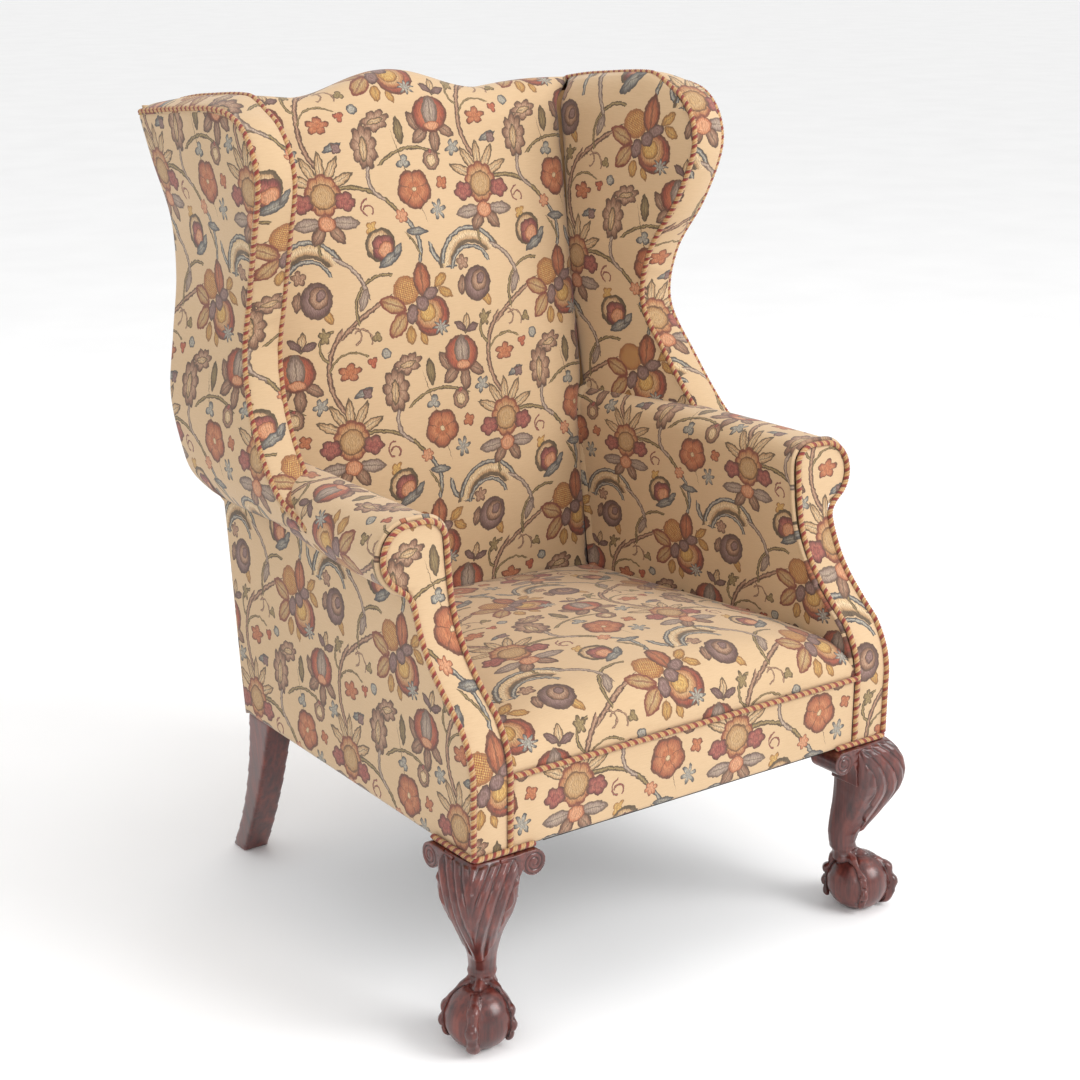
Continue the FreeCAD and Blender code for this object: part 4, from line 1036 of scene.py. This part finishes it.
# Each group: kind, paint, then its motifs from the bottom up. A motif is x, y, angle, half length
# and half width, and for a bloom also its lobes and their depth. An arc is three points and half
# its width.
motifs = (
    # Blue arch leaf
    ("arc", "blue", ((163, -78), (173, -104), (197, -112), 4.5)),
    ("arc", "cream", ((186, -110), (222, -72), (272, -96), 13.0)),
    ("arc", "blue", ((180, -104), (222, -62), (278, -92), 3.6),
     ((196, -113), (226, -88), (262, -112), 3.2)),
    ("bloom", "taupe", (214, -110, 20, 12, 12, 5, 0.35)),
    # Vines
    ("arc", "olive", ((28, 10), (75, 3), (118, -32), 3.4)),
    ("arc", "lilac", ((80, 40), (77, 11), (98, -10), 3.4)),
    ("arc", "blue", ((121, -36), (141, -62), (139, -104), 3.6)),
    ("arc", "olive", ((124, -62), (136, -76), (142, -92), 2.2)),
    ("arc", "taupe", ((76, -152), (30, -176), (-11, -209), 4.0),
     ((-11, -205), (-25, -245), (-6, -304), 4.2)),
    ("arc", "olive", ((27, -170), (40, -132), (90, -117), 2.6)),
    ("arc", "lilac", ((2, -88), (34, -110), (44, -128), 3.6)),
    ("arc", "olive", ((-24, -246), (2, -222), (36, -228), 1.7), ((96, 38), (146, 60), (189, 52), 2.6),
     ((-22, -190), (-34, -204), (-24, -230), 2.4), ((-10, -58), (-16, -66), (-14, -82), 2.4)),
    ("arc", "crimson", ((66, -8), (57, -18), (66, -30), 1.3), ((60, -22), (72, -17), (73, -30), 1.3)),
    ("arc", "olive", ((148, 4), (143, 20), (137, 40), 1.6)),
    ("arc", "taupe", ((16, -186), (30, -196), (24, -208), 1.4), ((26, -190), (40, -192), (44, -212), 1.4)),
    # Symmetric flower, crown first
    ("leaf", "cream", (0, 40, 90, 25, 7.5), (17, 36, 58, 25, 7.5), (-17, 36, 122, 25, 7.5),
     (30, 22, 24, 25, 7.5), (-30, 22, 156, 25, 7.5)),
    ("bloom", "tan", (0, 2, 90, 31, 29, 9, 0.10)),
    ("leaf", "lilac", (29, -38, -6, 24, 10), (-29, -38, 186, 24, 10)),
    ("bloom", "crimson", (33, -8, -8, 18, 15, 5, 0.22), (-33, -8, 188, 18, 15, 5, 0.22)),
    ("leaf", "taupe", (14, -53, -52, 18, 10), (-14, -53, 232, 18, 10)),
    ("oval", "salmon", (0, -38, 0, 14, 12)),
    ("oval", "bulb", (0, 0, 0, 20, 19)),
    # Rosette and the small ones near it
    ("bloom", "rust", (148.6, 1, 54, 30, 30, 5, 0.13)),
    ("oval", "cream", (148.6, 1, 0, 4.2, 4.2)),
    ("bloom", "blue", (137, 41, 200, 13, 11, 3, 0.55)),
    ("oval", "taupe", (185, 41, 0, 14.5, 15.5)),
    ("oval", "cream", (185, 40, 0, 8, 9)),
    ("oval", "crimson", (185, 53, 0, 3.4, 3.4)),
    ("bloom", "rust", (197, 7, 30, 11, 11, 4, 0.4)),
    ("bloom", "blue", (184, -31, 10, 14, 16, 6, 0.75)),
    ("bloom", "salmon", (121, -35, 12, 11, 11, 6, 0.35)),
    ("bloom", "gold", (68, -48, 45, 12, 9, 4, 0.5)),
    ("leaf", "blue", (24, 68, 20, 17, 6)),
    ("bloom", "blue", (225, 56, 40, 15, 12, 5, 0.55)),
    ("bloom", "plum", (30, 66, 45, 9, 9, 4, 0.3)),
    # Heart bud
    ("oval", "olive", (79, -73, 40, 26, 23)),
    ("oval", "cream", (78, -72, 40, 22.5, 20)),
    ("bloom", "crimson", (83, -77, 45, 21, 19, 4, 0.14)),
    ("oval", "salmon", (86, -80, 40, 14, 11)),
    ("leaf", "blue", (92, -94, 28, 24, 8), (106, -82, 50, 13, 5), (143, -59, -4, 19, 6.5)),
    # Large flower
    ("leaf", "gold", (170, -132, 38, 15, 8), (177, -150, -30, 14, 7.5), (110, -206, 262, 14, 9),
     (131, -212, 290, 11, 6)),
    ("hatched", "gold", (111, -141, 0, 22, 21)),
    ("leaf", "leaf_tan", (86, -160, 158, 24, 13), (92, -189, 228, 24, 13)),
    ("leaf", "rust", (139, -128, 90, 27, 15)),
    ("oval", "brick", (149, -181, 30, 31, 29)),
    ("oval", "tan", (145, -178, 30, 25, 23)),
    ("oval", "gold", (142, -176, 30, 15, 14)),
    ("oval", "plum", (151, -149, 20, 14, 8.5), (116, -176, 75, 15, 9.5), (135, -162, 0, 11.5, 11)),
    ("bloom", "blue", (162, -199, 0, 15, 13, 8, 0.8)),
    # Dark striped fruit
    ("leaf", "taupe", (208, -143, 75, 15, 8)),
    ("leaf", "gold", (250, -166, 300, 14, 7)),
    ("oval", "plum", (236, -143, 60, 27, 24)),
    ("oval", "taupe", (240, -139, 60, 17, 15)),
    ("oval", "plum", (243, -136, 60, 9, 7)),
    ("bloom", "olive", (241, -194, 90, 13, 10, 5, 0.5)),
    # Leaves low in the repeat
    ("leaf", "lilac", (41, -148, 65, 19, 7)),
    ("bloom", "olive", (55, -202, 80, 9, 9, 3, 0.5)),
    ("bloom", "brick", (43, -237, 40, 9, 9, 3, 0.5)),
    ("bloom", "rust", (6, -248, 10, 20, 14, 5, 0.4)),
    ("bloom", "taupe", (99, -246, 15, 26, 16, 7, 0.30), (76, -281, 92, 34, 23, 9, 0.22)),
    ("leaf", "cream", (74, -284, 86, 20, 7), (99, -246, 12, 15, 5)),
    ("oval", "blue", (66, -227, 0, 8, 8)),
    ("leaf", "olive", (136, -261, 94, 21, 8)),
    # Pomegranate
    ("leaf", "cream", (207, -199, 78, 16, 7)),
    ("leaf", "plum", (196, -202, 140, 13, 6), (217, -206, 20, 13, 6)),
    ("leaf", "taupe", (163, -250, 122, 18, 9), (172, -270, 215, 18, 10), (196, -279, 268, 19, 10),
     (217, -266, 328, 17, 9)),
    ("oval", "brick", (193, -241, 90, 27, 30)),
    ("leaf", "lilac", (194, -238, 88, 25, 14)),
    ("oval", "salmon", (194, -258, 0, 14, 7)),
)


def paint_stops(paint, stroked):
    # Ramp of one motif, from its centre out, or across it for a stroke
    centre, body, edge, line = [tone(*c, print_gain) for c in paints[paint]]
    clear = (*line[:3], 0)
    if stroked:
        return [(0.0, clear), (0.02, line), (0.2, line), (0.3, edge), (0.5, centre), (0.7, body), (0.8, line),
                (0.98, line), (1.0, clear)]
    return [(0, centre), (0.34, body), (0.46, centre), (0.82, edge), (0.90, line), (0.985, line),
            (1.0, clear)]


brushes = {}
brush_sockets = {
    "Vector": ("Place", "Low", "High", "Middle", "Turn", "Size"),
    "Float": ("First", "Second", "Hatch", "Cover"),
    "Color": ("Under",),
}


def brush(kind, paint):
    # Node group that draws one kind of motif in one paint over what is under it
    if (kind, paint) in brushes:
        return brushes[kind, paint]
    tree = bpy.data.node_groups.new("brush_" + kind + "_" + paint, "ShaderNodeTree")
    for socket, labels in brush_sockets.items():
        for label in labels:
            tree.interface.new_socket(label, in_out="INPUT", socket_type="NodeSocket" + socket)
    tree.interface.new_socket("Color", in_out="OUTPUT", socket_type="NodeSocketColor")
    tree.interface.new_socket("Cover", in_out="OUTPUT", socket_type="NodeSocketFloat")
    n = Nodes(tree=tree)
    given = tree.nodes.new("NodeGroupInput").outputs
    # The tiny share of the cover so far makes the renderer work out one motif after another,
    # because all of them at once don't fit in its memory for one shader
    place = n.vector("MULTIPLY_ADD", given["Cover"], (1e-6, 1e-6, 0), given["Place"])
    place = n.vector("WRAP", place, given["High"], given["Low"])
    local = n.mapped(place, given["Middle"], given["Turn"], given["Size"])
    vein = None
    if kind == "leaf":
        folded = n.vector("ABSOLUTE", local)
        vein = n.math("LESS_THAN", n.split(folded)[1], 0.06)
        local = n.vector("ADD", folded, (0, leaf_point, 0))
    reach = n.vector("LENGTH", local)
    if kind == "leaf":
        reach = n.math("MULTIPLY", reach, 1 / math.hypot(1, leaf_point))
    if kind == "arc":
        reach = n.math("MULTIPLY_ADD", reach, given["First"], n.math("SUBTRACT", 0.5, given["First"]))
    if kind == "bloom":
        parts = n.split(local)
        around = n.math("MULTIPLY", n.math("ARCTAN2", parts[1], parts[0]), given["First"])
        wave = n.math("ABSOLUTE", n.math("COSINE", around))
        vein = n.math("LESS_THAN", wave, 0.13)
        edge = n.math("MULTIPLY_ADD", wave, given["Second"], n.math("SUBTRACT", 1, given["Second"]))
        reach = n.math("DIVIDE", reach, edge)
    picture, mask = n.ramp(reach, *paint_stops(paint, kind == "arc"))
    if kind == "arc":
        mask = n.math("MULTIPLY", mask, n.math("GREATER_THAN", n.split(local)[0], given["Second"]))
    if kind == "hatched":
        picture = n.mix(given["Hatch"], picture, tone(150, 84, 50))
    if vein:
        picture = n.mix(n.math("MULTIPLY", vein, 0.7), picture, tone(*paints[paint][3], print_gain))
    result = tree.nodes.new("NodeGroupOutput").inputs
    n.feed(result["Color"], n.mix(mask, given["Under"], picture))
    n.feed(result["Cover"], n.math("MAXIMUM", mask, given["Cover"]))
    brushes[kind, paint] = tree
    return tree


def circle_through(a, b, c):
    # Centre and radius of the circle through three points
    (ax, ay), (bx, by), (cx, cy) = a, b, c
    d = 2 * (ax * (by - cy) + bx * (cy - ay) + cx * (ay - by))
    aa, bb, cc = ax * ax + ay * ay, bx * bx + by * by, cx * cx + cy * cy
    x = (aa * (by - cy) + bb * (cy - ay) + cc * (ay - by)) / d
    y = (aa * (cx - bx) + bb * (ax - cx) + cc * (bx - ax)) / d
    return (x, y), math.hypot(ax - x, ay - y)


def motif_values(kind, motif):
    # Place of one motif for its brush
    first, second = 0.0, 0.0
    if kind == "arc":
        a, (x, y), c, half = motif
        (mx, my), long = circle_through(a, (x, y), c)
        angle = math.atan2(y - my, x - mx)
        reach = max(math.hypot(p[0] - x, p[1] - y) for p in (a, c)) / long
        wide, first, second = long, long / half / 2, 1 - reach * reach / 2
    else:
        x, y, angle, long, wide = motif[:5]
        mx, my, angle = x, y, math.radians(angle)
    if kind == "leaf":
        wide = wide / (math.hypot(1, leaf_point) - leaf_point)
    if kind == "bloom":
        first, second = motif[5] / 2, motif[6]
    return {
        "Middle": (mx, my, 0), "Turn": (0, 0, angle), "Size": (long, wide, 1),
        "Low": (x - tile_wide / 2, y - tile_high / 2, -1),
        "High": (x + tile_wide / 2, y + tile_high / 2, 1),
        "First": first, "Second": second,
    }


def floral():
    n = Nodes("floral_cover")
    uv = n.pattern()
    sway = n.add("TexNoise", {"Vector": uv, "Scale": 150.0, "Detail": 2.0}).outputs["Color"]
    sway = n.vector("MULTIPLY_ADD", sway, (6.0, 6.0, 0), (-3.0, -3.0, 0))
    place = n.vector("MULTIPLY_ADD", uv, (1000, 1000, 0), (152.3, -985.9, 0))
    place = n.vector("ADD", place, sway)
    threads = n.mapped(uv, (0, 0, 0), (0, 0, math.radians(24)), (0.0021, 0.0021, 1))
    hatch = n.add("TexChecker", {"Vector": threads, "Scale": 1.0}).outputs[1]
    color, cover = tone(*ground, print_gain), 0.0
    for kind, paint, *group in motifs:
        for motif in group:
            values = {"Place": place, "Under": color, "Cover": cover, **motif_values(kind, motif)}
            if kind == "hatched":
                values["Hatch"] = hatch
            color, cover = n.add("Group", node_tree=brush(kind, paint)).outputs
            for label, value in values.items():
                n.feed(color.node.inputs[label], value)

    # Stippled print inside the motifs, and fine stitch lines that follow no one direction
    speckle = n.add("TexVoronoi", {"Vector": uv, "Scale": 620.0}).outputs[0]
    color = n.shade(color, speckle, (0.18, (0.80, 0.78, 0.76, 1)), (0.5, white),
                    share=n.math("MULTIPLY", cover, 0.8))
    inputs = {"Vector": uv, "Scale": 95.0, "Distortion": 9.0, "Detail": 1.0, "Detail Scale": 1.6}
    bands = n.add("TexWave", inputs).outputs[1]
    color = n.shade(color, bands, (0.12, (0.62, 0.56, 0.52, 1)), (0.45, white), (0.8, (1.12, 1.1, 1.06, 1)),
                    share=n.math("MULTIPLY", cover, 0.75))
    # A slow drift of the cream, and uneven ink
    point = n.point()
    color = n.shade(color, n.noise(point, 5.0, 3.0), (0.3, (0.94, 0.93, 0.90, 1)), (0.7, white))
    worn = n.math("MULTIPLY", n.noise(uv, 90.0, 3.0), 0.20)
    color = n.mix(worn, color, tone(*ground, print_gain))

    # Weave: warp and weft ribs with slubs
    across, up, _ = n.split(uv)
    weave = n.math("MULTIPLY", n.wave(across, 0.00095), n.wave(up, 0.0012))
    slub = n.stretched(uv, (60, 900, 0))
    height = n.math("MULTIPLY_ADD", slub, 1.1, n.math("MULTIPLY", weave, 0.30))
    thread = n.math("MULTIPLY_ADD", weave, 0.2, slub)
    color = n.shade(color, thread, (0.25, (0.90, 0.88, 0.85, 1)), (0.75, white))
    roughness = n.math("MULTIPLY_ADD", slub, 0.16, 0.74)
    normal = n.bump(height, 0.00022, 0.8, n.bump(n.noise(point, 34.0), 0.0012, 0.5))
    return n.finish(color, roughness, normal, Sheen_Weight=0.18, Sheen_Roughness=0.45)


def rope_material():
    # Three twisted strands, cream, gold and brick, each with fine yarns; UV is turn and run
    n = Nodes("rope_cord")
    turn, run, _ = n.split(n.pattern())
    lay = n.math("SUBTRACT", turn, n.math("MULTIPLY", run, 1 / rope_pitch * 1000))
    cream, gold, brick, dark = tone(220, 184, 132), tone(196, 138, 76), tone(150, 54, 40), tone(84, 42, 36)
    color = n.ramp(n.math("FRACT", lay), (0.0, dark), (0.05, brick), (0.36, brick), (0.40, gold),
                   (0.62, cream), (0.69, gold), (0.94, cream), (1.0, dark))[0]
    yarn = n.math("MULTIPLY_ADD", lay, 2 * math.pi * 12, n.math("MULTIPLY", turn, 2 * math.pi * 9))
    yarn = n.math("SINE", yarn)
    # Painted shade: the colour is darkened toward brown grey along the yarn lines, standing in for the shade
    # in the grooves between yarns
    groove = n.math("MULTIPLY_ADD", yarn, 0.12, 0.12)
    color = n.mix(groove, color, (0.55, 0.5, 0.45, 1), "MULTIPLY")
    fuzz = n.noise(n.point(), 900.0)
    color = n.shade(color, fuzz, (0.3, (0.85, 0.84, 0.82, 1)), (0.7, white))
    roughness = n.math("MULTIPLY_ADD", fuzz, 0.3, 0.55)
    normal = n.bump(n.math("MULTIPLY_ADD", yarn, 0.5, fuzz), 0.0004, 0.8)
    return n.finish(color, roughness, normal, Sheen_Weight=0.2)


def wood_material(name, light, dark, figure, rough, coat):
    # Long grain up the piece, with pores, slow figure, rubbed edges and dark hollows
    n = Nodes(name)
    point = n.point()
    sway = n.add("TexNoise", {"Vector": point, "Scale": 6.0}).outputs["Color"]
    bent = n.vector("ADD", point, n.vector("MULTIPLY", sway, (0.03, 0.03, 0.05)))
    grain = n.stretched(bent, (95, 95, 6), 6.0, 0.62)
    pores = n.stretched(bent, (900, 900, 38), 2.0, 0.6)
    slow = n.stretched(bent, (9, 9, 2.4))
    color = n.ramp(grain, (0.30, dark), (0.5, figure), (0.72, light))[0]
    color = n.mix(n.math("MULTIPLY", slow, 0.45), color, dark)
    color = n.shade(color, pores, (0.30, (0.45, 0.40, 0.38, 1)), (0.42, white), share=0.6)
    worn = n.add("NewGeometry").outputs["Pointiness"]
    wear = n.ramp(worn, (0.52, (0, 0, 0, 1)), (0.60, white))[0]
    color = n.mix(n.math("MULTIPLY", wear, 0.35), color, light)
    # Darker in the hollows, where the curvature is low; this darkening is not wear
    color = n.shade(color, worn, (0.42, (0.27, 0.21, 0.19, 1)), (0.505, white))
    roughness = n.math("MULTIPLY_ADD", grain, 0.22, rough)
    normal = n.bump(n.math("MULTIPLY_ADD", grain, 0.5, pores), 0.00025, 0.6)
    return n.finish(color, roughness, normal, Coat_Weight=coat, Coat_Roughness=0.22)


def cloth_material(name, warp_color, weft_color, pitch, depth):
    # Plain weave seen on all sides, in object space
    n = Nodes(name)
    point = n.point()
    x, y, z = n.split(point)
    weave = n.math("MULTIPLY", n.wave(x, pitch), n.wave(n.math("ADD", y, z), pitch))
    slub = n.stretched(point, (140, 420, 420))
    color = n.mix(n.math("MULTIPLY_ADD", weave, 0.5, 0.5), warp_color, weft_color)
    color = n.shade(color, slub, (0.25, (0.72, 0.70, 0.68, 1)), (0.75, white))
    roughness = n.math("MULTIPLY_ADD", slub, 0.14, 0.78)
    normal = n.bump(n.math("MULTIPLY_ADD", weave, 0.4, slub), depth, 0.8)
    return n.finish(color, roughness, normal, Sheen_Weight=0.1)


def stuffing_material():
    n = Nodes("hair_stuffing")
    fibre = n.stretched(n.point(), (260, 90, 180), 6.0, 0.7)
    color = n.ramp(fibre, (0.3, tone(92, 74, 56)), (0.5, tone(168, 146, 116)), (0.7, tone(206, 190, 160)))[0]
    roughness = n.math("MULTIPLY_ADD", fibre, 0.2, 0.75)
    return n.finish(color, roughness, n.bump(fibre, 0.0012), Sheen_Weight=0.15)


def tack_material():
    n = Nodes("tack_steel")
    blued = n.noise(n.point(), 420.0, 3.0)
    color = n.ramp(blued, (0.3, tone(58, 58, 66)), (0.7, tone(96, 96, 102)))[0]
    roughness = n.math("MULTIPLY_ADD", blued, 0.25, 0.3)
    return n.finish(color, roughness, n.bump(blued, 0.0001, 0.5), Metallic=0.85)


# Build


def ready(obj, material, nodes=()):
    obj.data.materials.clear()
    obj.data.materials.append(material)
    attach(obj, "root")
    if nodes:
        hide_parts(*nodes)


def both(left, material, node):
    # The left piece and its twin; node is the CAD node that the left one replaces
    ready(left, material, [node])
    twin = mirrored(left, left.name.replace("left", "right"))
    ready(twin, material, [node.replace("left", "right")])


fabric = floral()
cord = rope_material()
mahogany = wood_material("mahogany", tone(132, 58, 43), tone(47, 18, 16), tone(92, 37, 30), 0.22, 0.5)
beech = wood_material("frame_beech", tone(214, 176, 128), tone(168, 122, 80), tone(196, 154, 106), 0.55, 0.0)
web_cloth = cloth_material("jute_webbing", tone(176, 148, 104), tone(128, 100, 66), 0.0032, 0.0006)
hessian = cloth_material("hessian", tone(186, 160, 118), tone(142, 114, 76), 0.0021, 0.0005)
black_cloth = cloth_material("black_dust_cloth", tone(44, 42, 42), tone(28, 27, 27), 0.0011, 0.0002)
stuffing = stuffing_material()
tack_steel = tack_material()

ready(inside_back(), fabric, ["inside_back_pad"])
ready(outside_back(), fabric, ["outside_back"])
ready(seat_surface(), fabric, ["seat_pad"])
ready(front_border(), fabric, ["seat_front_border"])

for maker, node in (
    (arm_cover, "arm_pad_left"),
    (arm_facing, "arm_facing_left"),
    (outside_arm, "outside_arm_left"),
    (inside_wing, "inside_wing_pad_left"),
    (wing_front, "wing_facing_left"),
    (outside_wing, "outside_wing_left"),
):
    both(maker(), fabric, node)

seat_line = [Vector((x, front_y - 3.2, seat_edge + 0.5)) for x in (-seat_half + 3, 0, seat_half - 3)]
ready(rope("rope_seat_front", seat_line), cord, ["piping_seat_front"])
both(rope("rope_arm_left", arm_cord_path()), cord, "piping_arm_left")
for label, line in zip(("outer", "inner"), wing_cord_paths()):
    both(rope("rope_wing_" + label + "_left", line), cord, "piping_wing_left")
both(rope("rope_leg_top_left", leg_cord_path()), cord, "piping_leg_tops")

cloth, cloth_area = dust_cover()
ready(cloth, black_cloth, ["dust_cover"])
ready(tacks(), tack_steel)

coarser = 1
for node, label, voxel, rounds, relief in (
    ("front_leg_left", "carved_leg_left", 0.0012, 9, leg_relief),
    ("knee_brackets_left", "scroll_ears_left", 0.0011, 5, ear_relief),
    ("rear_leg_left", "raked_leg_left", 0.0028, 4, None),
):
    wood = softened(node, label, voxel * coarser, rounds)
    if relief:
        carve(wood, relief)
    both(wood, mahogany, node)

# The CAD nodes that still show
node_materials = (
    (("seat_webbing", "back_webbing"), web_cloth),
    (("seat_hessian", "back_hessian"), hessian),
    (("seat_stuffing",), stuffing),
    (("front_leg", "rear_leg", "knee_brackets"), mahogany),
)
for name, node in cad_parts.items():
    if node.hide_render:
        continue
    chosen = beech
    for starts, material in node_materials:
        if name.startswith(starts):
            chosen = material
    node.data.materials.clear()
    node.data.materials.append(chosen)


# Studio


def floor_material():
    n = Nodes("studio_floor")
    soft = n.noise(n.point(), 3.0)
    color = n.ramp(soft, (0.3, (0.95, 0.95, 0.95, 1)), (0.7, (0.98, 0.98, 0.98, 1)))[0]
    return n.finish(color, 0.9, n.bump(soft, 0.0002, 0.2))


def studio():
    size = 30
    corners = [(-size, -size, 0), (size, -size, 0), (size, size, 0), (-size, size, 0)]
    floor = new_object("floor", corners, [(0, 1, 2, 3)])
    floor.data.materials.append(floor_material())
    world = bpy.data.worlds.new("studio")
    world.use_nodes = True
    background = world.node_tree.nodes["Background"].inputs
    background[0].default_value = white
    background[1].default_value = 0.92
    bpy.context.scene.world = world
    for name, place, power, wide in (
        ("key", (2.2, -3.6, 3.0), 140, 2.4),
        ("fill", (-2.6, -3.2, 1.8), 22, 1.2),
        ("top", (0.3, -0.2, 4.2), 30, 2.0),
    ):
        light = bpy.data.lights.new(name, "AREA")
        light.energy = power
        light.size = wide
        lamp = bpy.data.objects.new(name, light)
        lamp.location = place
        aim = Vector((0, 0, 0.6)) - Vector(place)
        lamp.rotation_euler = aim.to_track_quat("-Z", "Y").to_euler()
        bpy.context.scene.collection.objects.link(lamp)


studio()
bpy.context.scene.view_settings.view_transform = "Standard"
